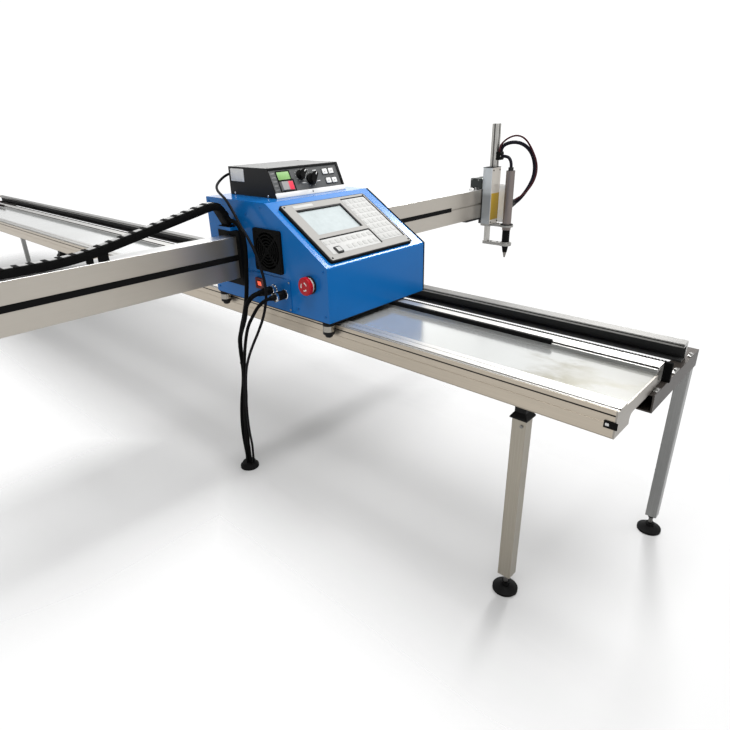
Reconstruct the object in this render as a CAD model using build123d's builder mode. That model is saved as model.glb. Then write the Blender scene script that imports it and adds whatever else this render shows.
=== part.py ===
from build123d import *
import math
import os

# Portable CNC cutting machine: a long aluminium guide rail on four levelling
# legs, a blue drive cabinet that rides along it, and a cross beam that slides
# through the cabinet and carries a motorised torch lifter at its far end.
#
# Millimetres, +Z up, +X along the guide rail, +Y along the beam towards the
# torch. Origin on the floor, under the middle of the machine's box.

# ---------------------------------------------------------------- dimensions
# guide rail
RAIL_HALF = 2250.0          # half length of the rail over its end caps
CAP_T = 3.0                 # rail end caps
PLANK_Y0, PLANK_Y1 = -147.0, 96.0
SKIRT_Z = 479.0             # bottom of the front skirt
BODY_Z = 500.0              # underside of the flat part
LIP_Z = 533.0               # top of the front lip
PLATE_Z = 528.0             # flat track plate
RAIL_Z = 540.0              # top of the raised track and of the rear rail
SEAT_Z = 499.0              # seat on the cross members
RACK_HALF = 2262.0
RACK_T = 10.0
CRAIL_Y0, CRAIL_Y1 = 217.0, 246.0
# stand
XM_X, XM_W, XM_Z0 = 2244.5, 29.0, 460.0      # cross members
XM_Y0, XM_Y1 = 25.0, 320.0
LEG_W, REAR_LEG_W, LEG_T = 30.0, 26.0, 2.0
LEG_Z0 = 47.0
FRONT_LEG = (2069.0, -120.0)
REAR_LEG = (2244.5, 300.0)
BRACKET_Z0 = 447.0
MID_BRACKET_X = -230.0
FOOT_R = 28.0
STUD_R = 5.0
# cabinet
CAB_X0, CAB_X1 = 1127.0, 1589.4
CAB_Y0, CAB_Y1 = -176.6, 182.6
CAB_Z0, CAB_Z1 = 545.0, 806.0
CAB_FRONT_Z = 677.0
CAB_SLOPE_X = 1382.0
SHEET = 2.0
BASE_Z0, BASE_Z1 = 541.8, 549.8
# beam
BEAM_X0, BEAM_X1 = 1209.0, 1259.0
BEAM_Z0, BEAM_Z1 = 604.0, 714.0
BEAM_HALF = 1070.0
# side panel
FAN_X, FAN_Z, FAN_W = 1382.0, 692.0, 106.0
STOP_X, STOP_Z = 1528.5, 629.5
SW_X, SW_Z = 1337.0, 602.0
SOCKETS = ((1393.5, 596.0), (1434.0, 590.0))
ROCK = 7.0                  # throw of a rocker to each side, degrees
# height-control box
THC_X0, THC_X1, THC_XT = 1145.5, 1344.0, 1311.0
THC_Y0, THC_Y1 = -108.0, 140.5
THC_Z1 = 878.0
# lifter and torch
LIFT_Y0, LIFT_Y1 = 1000.0, 1065.0
LIFT_X0, LIFT_X1 = 1259.0, 1301.0
LIFT_Z0, LIFT_Z1 = 580.0, 797.0
STEM_X, STEM_Y, STEM_W = 1280.0, 1046.0, 26.0
ROD_Y = 1023.0
TORCH_X, TORCH_Y, TORCH_R = 1361.0, 1035.0, 17.0
LPIN_Y, LPIN_Z, LPIN_R = 1018.0, 737.0, 14.4
# drives
XPIN_X, XPIN_R = 1450.0, 20.0
XPIN_Y = PLANK_Y1 + RACK_T + 0.5 + XPIN_R
YPIN_X, YPIN_R = 1179.0, 21.5
ROLLER_R = 14.5
ROLLER_Y = PLANK_Y0 - ROLLER_R - 0.3
ROLLER_X = (1140.0, 1569.5)
TRACK_R = 13.7
TRACK_X = (1250.0, 1480.0)
TRACK_Z = 517.0

# free cables, each as the points of its route
CABLE_A_D, CABLE_B_D, CABLE_C_D, WIRE_D = 11.0, 12.0, 8.5, 7.0
CABLE_A = [(1256, -196, 757), (1272, -196, 757), (1294, -195, 746), (1310, -195.5, 716),
           (1312, -198, 672), (1308, -200, 622), (1300, -201, 566), (1282, -202.5, 512),
           (1256, -204, 456), (1244, -205, 404), (1250, -205, 352), (1240, -205, 292),
           (1221, -205.5, 231), (1209, -206, 164), (1206, -206, 106), (1209, -205.5, 66),
           (1212, -205, 38), (1212, -205, 18)]
CABLE_B = [(1393.5, -230, 596), (1393.5, -243, 596), (1388, -254, 586), (1372, -256, 567),
           (1357, -251, 537), (1334, -243, 508), (1304, -234, 476), (1281, -226, 446),
           (1270, -220.5, 411), (1268, -218, 370), (1265, -216.5, 318), (1261.5, -216.5, 266),
           (1249, -216, 206), (1240.5, -215, 140), (1230, -213.5, 86), (1223.5, -212.4, 44),
           (1223.5, -212.4, 18)]
CABLE_C = [(1434, -226, 590), (1434, -237, 590), (1427, -247, 583), (1413, -252.5, 568),
           (1394, -254, 544), (1365, -252, 511), (1334, -244, 460), (1308, -236, 404),
           (1291, -231, 348), (1280, -228.5, 290), (1270, -226.5, 226), (1258, -223.5, 160),
           (1246, -217.5, 98), (1236, -210.5, 46), (1236, -210.5, 18)]
THC_WIRE = [(1145.5, -96, 858), (1133, -96, 858), (1117, -103, 851), (1114, -119, 840),
            (1128, -141, 829), (1166, -164, 821), (1218, -187, 816), (1258, -203, 811),
            (1291, -210, 790), (1325, -213, 752.5), (1358, -215, 722), (1382, -215.5, 688),
            (1397, -216.5, 655), (1412, -220, 622), (1419, -226, 588), (1411, -232, 544),
            (1388, -237.5, 497), (1360, -240, 454), (1334, -240, 412), (1314, -239, 370),
            (1302, -238, 320), (1292, -237, 262), (1281, -232.5, 200), (1268, -223, 142),
            (1253, -209, 88), (1236, -200, 44), (1236, -200, 18)]
# hoses between the clamp on the lifter stem and the torch
HOSE_D, RED_D, LEAD_D = 14.0, 7.0, 12.0
HOSE_BLACK = [(1303, 1052, 854), (1303, 1052, 867), (1313, 1059, 880), (1334, 1073, 888),
              (1359, 1091, 886), (1383, 1107, 871), (1402, 1120, 843), (1412.5, 1126, 806),
              (1417, 1121, 770), (1414, 1106, 737), (1404, 1090, 707), (1388.5, 1079.9, 681.6),
              (1379.9, 1070.1, 669.7), (1374, 1060, 662)]
HOSE_RED = [(1303, 1038, 854), (1303, 1038, 869), (1311, 1043, 887), (1328, 1055, 904),
            (1353, 1073, 914), (1377.5, 1090, 904), (1396, 1102.5, 878), (1413, 1110, 846),
            (1427, 1113, 813), (1432.5, 1110, 779), (1429.5, 1099, 745), (1416, 1082, 712),
            (1398.3, 1071.9, 693), (1385.4, 1062.7, 683), (1377, 1054, 676)]
TORCH_LEAD = [(1311, 1046, 838), (1325, 1046, 838), (1346, 1042, 834), (1361, 1035, 815),
              (1361, 1035, 799)]
# energy chain over the beam, as (y, z) of its centre line
CHAIN_W, CHAIN_H, CHAIN_X = 32.0, 19.0, 1240.0
CHAIN = [(-840, 725.8), (-585, 725.8), (-221, 800), (-192.5, 747)]
CHAIN_R = [700.0, 30.0]

os.makedirs("parts", exist_ok=True)


def bend_radii(route):
    """Radius of each bend: as large as its two runs allow."""
    radii = []
    for a, b, c in zip(route, route[1:], route[2:]):
        u, v = Vector(*b) - Vector(*a), Vector(*c) - Vector(*b)
        half = math.radians(u.get_angle(v)) / 2
        radii.append(0.45 * min(u.length, v.length) / math.tan(half))
    return radii


def report_tube(name, part, line, dia):
    """Print the bends and compare the solid with its section times its length."""
    section = math.pi * dia * dia / 4
    length = sum(edge.length for edge in line.edges())
    print(name, "length %.0f" % length, "volume ratio %.4f" % (part.volume / (section * length)))


for _name, _route, _dia in (("cable_a", CABLE_A, CABLE_A_D), ("cable_b", CABLE_B, CABLE_B_D),
                            ("cable_c", CABLE_C, CABLE_C_D), ("thc_wire", THC_WIRE, WIRE_D),
                            ("hose_black", HOSE_BLACK, HOSE_D), ("hose_red", HOSE_RED, RED_D),
                            ("torch_lead", TORCH_LEAD, LEAD_D)):
    print(_name, "radii", [round(r) for r in bend_radii(_route)], "dia", _dia)

# =============================================================== guide rail
# Hollow extruded plank: deep front skirt with a lip, flat plate, raised track.
with BuildPart() as rail_plank:
    with BuildSketch(Plane.YZ.offset(-(RAIL_HALF - CAP_T))):
        with BuildLine():
            Polyline((-147, SKIRT_Z), (-147, 506), (-146.3, 506.5), (-146.3, 507), (-147, 507.5), (-147, 521),
                     (-144.5, 521), (-144.5, 524), (-147, 524), (-147, LIP_Z),
                     (-146, LIP_Z), (-146, LIP_Z - 2.2), (-135, LIP_Z - 2.2), (-135, LIP_Z),
                     (-119, LIP_Z), (-119, LIP_Z - 1.2), (-117.5, LIP_Z - 1.2), (-117.5, LIP_Z),
                     (-104, LIP_Z), (-104, PLATE_Z), (56, PLATE_Z), (56, 537), (61, 537), (61, 534),
                     (63.5, 534), (63.5, RAIL_Z), (96, RAIL_Z), (96, SEAT_Z), (56, SEAT_Z),
                     (56, BODY_Z), (-64, BODY_Z), (-71, BODY_Z - 1.2), (-76, BODY_Z - 4.5), (-78, BODY_Z - 10),
                     (-78, SKIRT_Z), close=True)
        make_face()
        with BuildLine():
            Polyline((-144, 482), (-144, 518), (-141.5, 519), (-141.5, 529.5), (-107, 529.5),
                     (-107, 502), (-81, 497), (-81, 482), close=True)
        make_face(mode=Mode.SUBTRACT)
        with Locations((-75.5, 515.5), (-22.5, 515.5), (29, 515.5)):
            Rectangle(48, 20, mode=Mode.SUBTRACT)
        with Locations((76, 516.5)):
            Rectangle(34, 29, mode=Mode.SUBTRACT)
    extrude(amount=2 * (RAIL_HALF - CAP_T))
rail_plank.part.label = "rail_plank"
export_step(rail_plank.part, "parts/rail_plank.step")

# Plates that close the two ends of the plank; the raised track stays open.
with BuildPart() as rail_end_caps:
    for x0 in (-RAIL_HALF, RAIL_HALF - CAP_T):
        with BuildSketch(Plane.YZ.offset(x0)):
            with BuildLine():
                Polyline((-147, SKIRT_Z), (-147, LIP_Z), (-146, LIP_Z), (-146, LIP_Z - 2.2), (-135, LIP_Z - 2.2),
                         (-135, LIP_Z), (-104, LIP_Z), (-104, PLATE_Z), (56, PLATE_Z), (56, BODY_Z),
                         (-64, BODY_Z), (-71, BODY_Z - 1.2), (-76, BODY_Z - 4.5), (-78, BODY_Z - 10),
                         (-78, SKIRT_Z), close=True)
            make_face()
        extrude(amount=CAP_T)
rail_end_caps.part.label = "rail_end_caps"
export_step(rail_end_caps.part, "parts/rail_end_caps.step")

# Rack bar behind the raised track; its toothed face looks to the rear.
with BuildPart() as drive_rack:
    with Locations((0, PLANK_Y1 + RACK_T / 2, (SEAT_Z + RAIL_Z) / 2)):
        Box(2 * RACK_HALF, RACK_T, RAIL_Z - SEAT_Z)
drive_rack.part.label = "drive_rack"
export_step(drive_rack.part, "parts/drive_rack.step")

# Rear rail: a C section, open to the front, in which two rollers run.
with BuildPart() as rear_rail:
    with BuildSketch(Plane.YZ.offset(-RAIL_HALF)):
        with BuildLine():
            Polyline((217, SEAT_Z), (246, SEAT_Z), (246, RAIL_Z), (217, RAIL_Z), (217, 537.4), (220, 537.4),
                     (220, 535.2), (217, 535.2), (217, 531), (236, 531), (236, 503), (217, 503), close=True)
        make_face()
    extrude(amount=2 * RAIL_HALF)
rear_rail.part.label = "rear_rail"
export_step(rear_rail.part, "parts/rear_rail.step")

# Black trims of the rail: two slot strips on the ledge of the raised track and
# the clip at the near end of the skirt.
with BuildPart() as rail_trim:
    for x, length in ((1586, 892), (-1890, 640)):
        with Locations((x, 58.8, 540.75)):
            Box(length, 8.4, 7.5)
        with Locations((x, 55.3, 535.75)):
            Box(length, 1.4, 2.5)
    with Locations((2241.5, -148.2, 504)):
        Box(23, 2.4, 13)
rail_trim.part.label = "rail_trim"
export_step(rail_trim.part, "parts/rail_trim.step")

# =================================================================== stand
# Steel tubes, open at their ends, that carry the rails at both ends.
with BuildPart() as cross_members:
    for sx in (-1, 1):
        with BuildSketch(Plane.XZ.offset(-XM_Y1)):
            with Locations((sx * XM_X, (XM_Z0 + SEAT_Z) / 2)):
                Rectangle(XM_W, SEAT_Z - XM_Z0)
            with Locations((sx * XM_X, (XM_Z0 + SEAT_Z) / 2)):
                Rectangle(XM_W - 6, SEAT_Z - XM_Z0 - 6, mode=Mode.SUBTRACT)
        extrude(amount=XM_Y1 - XM_Y0)
    with Locations(*[(sx * XM_X, y, (XM_Z0 + SEAT_Z) / 2) for sx in (-1, 1) for y in (76, 231)]):
        Cylinder(4.25, 50, mode=Mode.SUBTRACT)
cross_members.part.label = "cross_members"
export_step(cross_members.part, "parts/cross_members.step")

# Four square tube legs with a threaded plate in the bottom end.
LEGS = [(FRONT_LEG[0], FRONT_LEG[1], BRACKET_Z0, LEG_W), (-FRONT_LEG[0], FRONT_LEG[1], BRACKET_Z0, LEG_W),
        (REAR_LEG[0], REAR_LEG[1], XM_Z0, REAR_LEG_W), (-REAR_LEG[0], REAR_LEG[1], XM_Z0, REAR_LEG_W)]
with BuildPart() as legs:
    for lx, ly, lz, lw in LEGS:
        with BuildSketch(Plane.XY.offset(LEG_Z0)):
            with Locations((lx, ly)):
                RectangleRounded(lw, lw, 2.5)
        extrude(amount=lz - LEG_Z0)
        with BuildSketch(Plane.XY.offset(LEG_Z0 + 12)):
            with Locations((lx, ly)):
                RectangleRounded(lw - 2 * LEG_T, lw - 2 * LEG_T, 1.2)
        extrude(amount=lz - LEG_Z0 - 12, mode=Mode.SUBTRACT)
        with Locations((lx, ly, LEG_Z0 + 6)):
            Cylinder(STUD_R + 0.05, 12, mode=Mode.SUBTRACT)
legs.part.label = "legs"
export_step(legs.part, "parts/legs.step")

# Flared leg sockets under the skirt; the middle one holds no leg.
with BuildPart() as leg_brackets:
    for bx in (FRONT_LEG[0], -FRONT_LEG[0], MID_BRACKET_X):
        with BuildSketch(Plane.XY.offset(BRACKET_Z0)):
            with Locations((bx, FRONT_LEG[1])):
                Rectangle(37, 37)
        extrude(amount=3)
        with BuildSketch(Plane.XY.offset(BRACKET_Z0 + 3)):
            with Locations((bx, FRONT_LEG[1])):
                Rectangle(37, 37)
        with BuildSketch(Plane.XY.offset(460)):
            with Locations((bx, FRONT_LEG[1])):
                Rectangle(24, 24)
        loft()
        with BuildSketch(Plane.XY.offset(460)):
            with Locations((bx, FRONT_LEG[1])):
                Rectangle(24, 24)
        extrude(amount=SKIRT_Z - 460)
leg_brackets.part.label = "leg_brackets"
export_step(leg_brackets.part, "parts/leg_brackets.step")

# Hex bolts through the cross members and screws in the leg tops.
with BuildPart() as frame_bolts:
    for bx, by in [(sx * XM_X, y) for sx in (-1, 1) for y in (76, 231)]:
        with BuildSketch(Plane.XY.offset(XM_Z0 - 5.3)):
            with Locations((bx, by)):
                RegularPolygon(7.5, 6)
        extrude(amount=5.3)
        with Locations((bx, by, (XM_Z0 + SEAT_Z) / 2)):
            Cylinder(4, SEAT_Z - XM_Z0)
    for sx in (-1, 1):
        with Locations(Location((sx * FRONT_LEG[0] + 7, FRONT_LEG[1] - 15.9, 433), (90, 0, 0))):
            Cylinder(3.4, 1.8)
frame_bolts.part.label = "frame_bolts"
export_step(frame_bolts.part, "parts/frame_bolts.step")

# Levelling feet: rubber pad, hex, threaded stud and jam nut, turned as one.
with BuildPart() as foot_front_right:
    with Locations((FRONT_LEG[0], FRONT_LEG[1], 0)):
        Cylinder(FOOT_R, 6, align=(Align.CENTER, Align.CENTER, Align.MIN))
    with Locations((FRONT_LEG[0], FRONT_LEG[1], 6)):
        Cone(FOOT_R - 1, 12, 8, align=(Align.CENTER, Align.CENTER, Align.MIN))
    with Locations((FRONT_LEG[0], FRONT_LEG[1], 10)):
        Cylinder(STUD_R, 48.5, align=(Align.CENTER, Align.CENTER, Align.MIN))
    with BuildSketch(Plane.XY.offset(13)):
        with Locations((FRONT_LEG[0], FRONT_LEG[1])):
            RegularPolygon(10, 6)
    extrude(amount=9)
    with BuildSketch(Plane.XY.offset(39.5)):
        with Locations((FRONT_LEG[0], FRONT_LEG[1])):
            RegularPolygon(9, 6)
    extrude(amount=7.2)
foot_front_right.part.label = "foot_front_right"
export_step(foot_front_right.part, "parts/foot_front_right.step")

with BuildPart() as foot_front_left:
    add(foot_front_right.part.moved(Location((-2 * FRONT_LEG[0], 0, 0))))
foot_front_left.part.label = "foot_front_left"
export_step(foot_front_left.part, "parts/foot_front_left.step")

with BuildPart() as foot_rear_right:
    add(foot_front_right.part.moved(Location((REAR_LEG[0] - FRONT_LEG[0], REAR_LEG[1] - FRONT_LEG[1], 0))))
foot_rear_right.part.label = "foot_rear_right"
export_step(foot_rear_right.part, "parts/foot_rear_right.step")

with BuildPart() as foot_rear_left:
    add(foot_front_right.part.moved(Location((-REAR_LEG[0] - FRONT_LEG[0], REAR_LEG[1] - FRONT_LEG[1], 0))))
foot_rear_left.part.label = "foot_rear_left"
export_step(foot_rear_left.part, "parts/foot_rear_left.step")

# ================================================================ carriage
# Base plate with glide pads on the tracks, bushes for the side rollers,
# hangers for the rear rollers and the post of the beam motor.
with BuildPart() as carriage_base:
    with Locations(((CAB_X0 + CAB_X1) / 2, (CAB_Y0 + CAB_Y1) / 2, (BASE_Z0 + BASE_Z1) / 2)):
        Box(CAB_X1 - CAB_X0 - 2 * SHEET, CAB_Y1 - CAB_Y0 - 2 * SHEET, BASE_Z1 - BASE_Z0)
    with Locations((1365, 192.5, (BASE_Z0 + BASE_Z1) / 2)):
        Box(280, 25, BASE_Z1 - BASE_Z0)
    with Locations((1180, -125, 537.55), (1537, -125, 537.55)):
        Box(80, 34, 8.5)
    with Locations((1180, 80, 541.05), (1537, 80, 541.05)):
        Box(80, 26, 1.5)
    with Locations(*[(x, 200, 521.5) for x in TRACK_X]):
        Box(26, 8, 41)
    with Locations(*[(x, ROLLER_Y, 531) for x in ROLLER_X]):
        Cylinder(ROLLER_R - 0.2, 21.8)
    with Locations((1150, 0, 625.9)):
        Box(8, 50, 152.2)
    with Locations((1156, 0, 683)):
        Box(4, 42, 38)
    with Locations(*[(x, ROLLER_Y, 535) for x in ROLLER_X]):
        Cylinder(STUD_R + 0.05, 40, mode=Mode.SUBTRACT)
    with Locations(*[Location((x, 200, TRACK_Z), (90, 0, 0)) for x in TRACK_X]):
        Cylinder(STUD_R + 0.05, 12, mode=Mode.SUBTRACT)
    with Locations((XPIN_X, XPIN_Y, (BASE_Z0 + BASE_Z1) / 2)):
        Cylinder(8, 12, mode=Mode.SUBTRACT)
    with Locations(((CAB_X0 + CAB_X1) / 2, 58.8, 542.9)):
        Box(500, 11, 4.2, mode=Mode.SUBTRACT)
carriage_base.part.label = "carriage_base"
export_step(carriage_base.part, "parts/carriage_base.step")

# Folded sheet-metal cover, open below, with a sloped console face.
with BuildPart() as cabinet_shell:
    with BuildSketch(Plane.XZ.offset(-CAB_Y1)):
        with BuildLine():
            Polyline((CAB_X0, CAB_Z0), (CAB_X1, CAB_Z0), (CAB_X1, CAB_FRONT_Z), (CAB_SLOPE_X, CAB_Z1),
                     (CAB_X0, CAB_Z1), close=True)
        make_face()
    extrude(amount=CAB_Y1 - CAB_Y0)
    _bends = [e for e in cabinet_shell.edges().filter_by(Axis.Y) if e.center().Z > CAB_Z0 + 1]
    fillet(_bends, 4)
    with BuildSketch(Plane.XZ.offset(-(CAB_Y1 - SHEET))):
        with BuildLine():
            Polyline((CAB_X0 + SHEET, CAB_Z0 - 5), (CAB_X1 - SHEET, CAB_Z0 - 5), (CAB_X1 - SHEET, 675.9),
                     (1381.4, CAB_Z1 - SHEET), (CAB_X0 + SHEET, CAB_Z1 - SHEET), close=True)
        make_face()
    extrude(amount=CAB_Y1 - CAB_Y0 - 2 * SHEET, mode=Mode.SUBTRACT)
    # beam passage through both sides
    with Locations((1231, (CAB_Y0 + CAB_Y1) / 2, 658)):
        Box(82, 400, 132, mode=Mode.SUBTRACT)
    # fan, stop switch and connector openings in the near side
    with Locations(Location((FAN_X, CAB_Y0, FAN_Z), (90, 0, 0))):
        Cylinder(45, 10, mode=Mode.SUBTRACT)
    with Locations(Location((STOP_X, CAB_Y0, STOP_Z), (90, 0, 0))):
        Cylinder(11, 10, mode=Mode.SUBTRACT)
    with Locations((1374, CAB_Y0, 590)):
        Box(164, 10, 58, mode=Mode.SUBTRACT)
    # opening behind the console
    with BuildSketch(Plane(origin=(CAB_SLOPE_X, 0, CAB_Z1), x_dir=(207.4, 0, -129), z_dir=(129, 0, 207.4))):
        with Locations((129.5, -5)):
            Rectangle(169, 260)
    extrude(amount=5, both=True, mode=Mode.SUBTRACT)
    # rear hanger passage
    with Locations((1365, CAB_Y1, 547)):
        Box(284, 10, 9, mode=Mode.SUBTRACT)
    # shelf for the end of the energy chain
    with Locations((1241, CAB_Y0 - 15, 737)):
        Box(56, 30, 8)
cabinet_shell.part.label = "cabinet_shell"
export_step(cabinet_shell.part, "parts/cabinet_shell.step")

# Connector plate with the bezel and well of the power switch.
with BuildPart() as connector_plate:
    with Locations((1365, CAB_Y0 - 1, 588)):
        Box(182, 2, 82)
    with Locations((SW_X, CAB_Y0 + 6, SW_Z)):
        Box(28, 20, 24)
    with Locations((SW_X, CAB_Y0 + 4, SW_Z)):
        Box(20.2, 20, 16.6, mode=Mode.SUBTRACT)
    with Locations(Location((SW_X, CAB_Y0 - 1, SW_Z), (0, 90, 0))):
        Cylinder(1.55, 23.2, mode=Mode.SUBTRACT)
    with Locations(*[Location((x, CAB_Y0 - 1, z), (90, 0, 0)) for x, z in SOCKETS]):
        Cylinder(9.05, 6, mode=Mode.SUBTRACT)
connector_plate.part.label = "connector_plate"
export_step(connector_plate.part, "parts/connector_plate.step")

# Two round panel sockets with straight cable plugs screwed on. Each row is
# (radius at the wall side, radius at the cable side, from, to) along -Y.
PLUGS = (((13, 13, 178.6, 181.6), (11.5, 11.5, 181.6, 191), (11, 11, 191, 215), (9, 7, 215, 230)),
         ((13, 13, 178.6, 181.6), (11.5, 11.5, 181.6, 206), (12, 12, 206, 213), (8, 6, 213, 226)))
with BuildPart() as cable_sockets:
    for (px, pz), rows in zip(SOCKETS, PLUGS):
        with Locations(Location((px, CAB_Y0 + 6, pz), (90, 0, 0))):
            Cylinder(9, 16)
        for r0, r1, y0, y1 in rows:
            with BuildSketch(Plane(origin=(px, -y0, pz), x_dir=(1, 0, 0), z_dir=(0, -1, 0))):
                Circle(r0)
            with BuildSketch(Plane(origin=(px, -y1, pz), x_dir=(1, 0, 0), z_dir=(0, -1, 0))):
                Circle(r1)
            loft()
cable_sockets.part.label = "cable_sockets"
export_step(cable_sockets.part, "parts/cable_sockets.step")

# Rocker of the power switch on its cross pin, tipped to its "on" side.
with BuildPart(Plane(origin=(SW_X, CAB_Y0 - 1, SW_Z)).rotated((ROCK, 0, 0))) as switch_rocker:
    Box(19.6, 11, 15)
    fillet(switch_rocker.edges().filter_by(Axis.X).group_by(Axis.Y)[0], 2)
    Cylinder(1.5, 22.6, rotation=(0, 90, 0))
switch_rocker.part.label = "switch_rocker"
export_step(switch_rocker.part, "parts/switch_rocker.step")

# Fan guard of rings and spokes with the axle of the rotor on its back.
with BuildPart() as fan_grille:
    with BuildSketch(Plane.XZ.offset(-CAB_Y0)):
        with Locations((FAN_X, FAN_Z)):
            RectangleRounded(FAN_W, FAN_W, 6)
            Circle(46, mode=Mode.SUBTRACT)
            for r in (40.5, 32.5, 24.5, 16.5):
                Circle(r)
                Circle(r - 3, mode=Mode.SUBTRACT)
            Circle(9)
        with Locations(*[Location((FAN_X, FAN_Z), a) for a in (45, -45)]):
            Rectangle(94, 5)
    extrude(amount=6)
    with Locations(Location((FAN_X, CAB_Y0 + 2, FAN_Z), (90, 0, 0))):
        Cylinder(8, 4)
    with Locations(Location((FAN_X, CAB_Y0 + 12, FAN_Z), (90, 0, 0))):
        Cylinder(2, 20)
fan_grille.part.label = "fan_grille"
export_step(fan_grille.part, "parts/fan_grille.step")

# Seven-blade rotor.
with BuildPart(Plane(origin=(FAN_X, CAB_Y0 + 12.2, FAN_Z), x_dir=(1, 0, 0), z_dir=(0, -1, 0))) as fan_rotor:
    Cylinder(16, 14)
    with PolarLocations(28.5, 7):
        Box(27, 2.5, 14, rotation=(38, 0, 0))
    Cylinder(2.05, 16, mode=Mode.SUBTRACT)
fan_rotor.part.label = "fan_rotor"
export_step(fan_rotor.part, "parts/fan_rotor.step")

# Base ring, collar and contact block of the emergency stop.
with BuildPart(Plane(origin=(STOP_X, CAB_Y0, STOP_Z), x_dir=(1, 0, 0), z_dir=(0, -1, 0))) as estop_collar:
    Cylinder(22, 4, align=(Align.CENTER, Align.CENTER, Align.MIN))
    Cylinder(19, 10.4, align=(Align.CENTER, Align.CENTER, Align.MIN))
    with Locations((0, 0, -26)):
        Cylinder(10.9, 26, align=(Align.CENTER, Align.CENTER, Align.MIN))
    with Locations((0, 0, -18)):
        Cylinder(6.05, 40, align=(Align.CENTER, Align.CENTER, Align.MIN), mode=Mode.SUBTRACT)
estop_collar.part.label = "estop_collar"
export_step(estop_collar.part, "parts/estop_collar.step")

# Mushroom button, hollow behind so that it passes over the collar, on its stem.
with BuildPart(Plane(origin=(STOP_X, CAB_Y0, STOP_Z), x_dir=(1, 0, 0), z_dir=(0, -1, 0))) as estop_button:
    with Locations((0, 0, 10)):
        Cylinder(22, 10, align=(Align.CENTER, Align.CENTER, Align.MIN))
    fillet(estop_button.edges().group_by(Axis.Y)[0], 4)
    with Locations((0, 0, 9)):
        Cylinder(19.6, 6, align=(Align.CENTER, Align.CENTER, Align.MIN), mode=Mode.SUBTRACT)
    with Locations((0, 0, -12)):
        Cylinder(6, 28, align=(Align.CENTER, Align.CENTER, Align.MIN))
estop_button.part.label = "estop_button"
export_step(estop_button.part, "parts/estop_button.step")

# Console: aluminium face plate on the slope, with a sunk screen and one key well.
SLOPE = Plane(origin=(CAB_SLOPE_X, 0, CAB_Z1), x_dir=(207.4, 0, -129), z_dir=(129, 0, 207.4))
with BuildPart() as panel_plate:
    with BuildSketch(SLOPE):
        with Locations((129, -6)):
            RectangleRounded(202, 288, 4)
    extrude(amount=8)
    with BuildSketch(SLOPE.offset(3)):
        with Locations((97, -44)):
            Rectangle(94, 154)
    extrude(amount=6, mode=Mode.SUBTRACT)
    with BuildSketch(SLOPE.offset(1)):
        with Locations((203, -106)):
            Rectangle(14.6, 14.6)
    extrude(amount=8, mode=Mode.SUBTRACT)
panel_plate.part.label = "panel_plate"
export_step(panel_plate.part, "parts/panel_plate.step")

with BuildPart() as panel_screen:
    with BuildSketch(SLOPE.offset(3)):
        with Locations((97, -44)):
            Rectangle(93.4, 153.4)
    extrude(amount=1.6)
panel_screen.part.label = "panel_screen"
export_step(panel_screen.part, "parts/panel_screen.step")

with BuildPart() as panel_key:
    with BuildSketch(SLOPE.offset(2.6)):
        with Locations((203, -106)):
            RectangleRounded(14, 14, 2)
    extrude(amount=8.4)
panel_key.part.label = "panel_key"
export_step(panel_key.part, "parts/panel_key.step")

# Height-control box on the cabinet roof: folded case and inset front panel.
with BuildPart() as thc_case:
    with BuildSketch(Plane.XZ.offset(-THC_Y1)):
        with BuildLine():
            Polyline((THC_X0, CAB_Z1), (THC_X1, CAB_Z1), (THC_XT, THC_Z1), (THC_X0, THC_Z1), close=True)
        make_face()
    extrude(amount=THC_Y1 - THC_Y0)
    with BuildSketch(Plane.XZ.offset(-(THC_Y1 - 2))):
        with BuildLine():
            Polyline((THC_X0 + 2, CAB_Z1 + 2), (THC_X1 + 20, CAB_Z1 + 2), (THC_X1 + 20, THC_Z1 - 2),
                     (THC_X0 + 2, THC_Z1 - 2), close=True)
        make_face()
    extrude(amount=THC_Y1 - THC_Y0 - 4, mode=Mode.SUBTRACT)
thc_case.part.label = "thc_case"
export_step(thc_case.part, "parts/thc_case.step")

FACE = Plane(origin=(THC_X1, (THC_Y0 + THC_Y1) / 2, CAB_Z1), x_dir=(0, 1, 0), z_dir=(THC_Z1 - CAB_Z1, 0, THC_X1 - THC_XT))
KNOBS = ((-22.0, 53.5), (10.0, 39.0))
THC_SW = (-75.5, 30.0)
with BuildPart() as thc_face:
    with BuildSketch(FACE.offset(-4)):
        with Locations((0, 40.7)):
            Rectangle(244, 72.4)
        with Locations(*KNOBS):
            Circle(3.05, mode=Mode.SUBTRACT)
    extrude(amount=3)
    with BuildSketch(FACE.offset(-14)):
        with Locations(THC_SW):
            Rectangle(46, 27)
    extrude(amount=13)
    with BuildSketch(FACE.offset(-12)):
        with Locations(THC_SW):
            Rectangle(42.6, 22.4)
    extrude(amount=13, mode=Mode.SUBTRACT)
    with BuildSketch(FACE.offset(-2.5)):
        with Locations(THC_SW):
            Rectangle(3.1, 25, mode=Mode.ADD)
    extrude(amount=1.55, both=True, mode=Mode.SUBTRACT)
thc_face.part.label = "thc_face"
export_step(thc_face.part, "parts/thc_face.step")

# Two-tone rocker on the height-control panel; its pin stands upright.
THC_PIN = FACE * Location((THC_SW[0], THC_SW[1], -2.5), (0, ROCK, 0))
with BuildPart(Plane(THC_PIN)) as thc_rocker:
    Box(40.4, 21.6, 10)
    Cylinder(1.45, 24.4, rotation=(90, 0, 0))
thc_rocker.part.label = "thc_rocker"
export_step(thc_rocker.part, "parts/thc_rocker.step")

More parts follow.
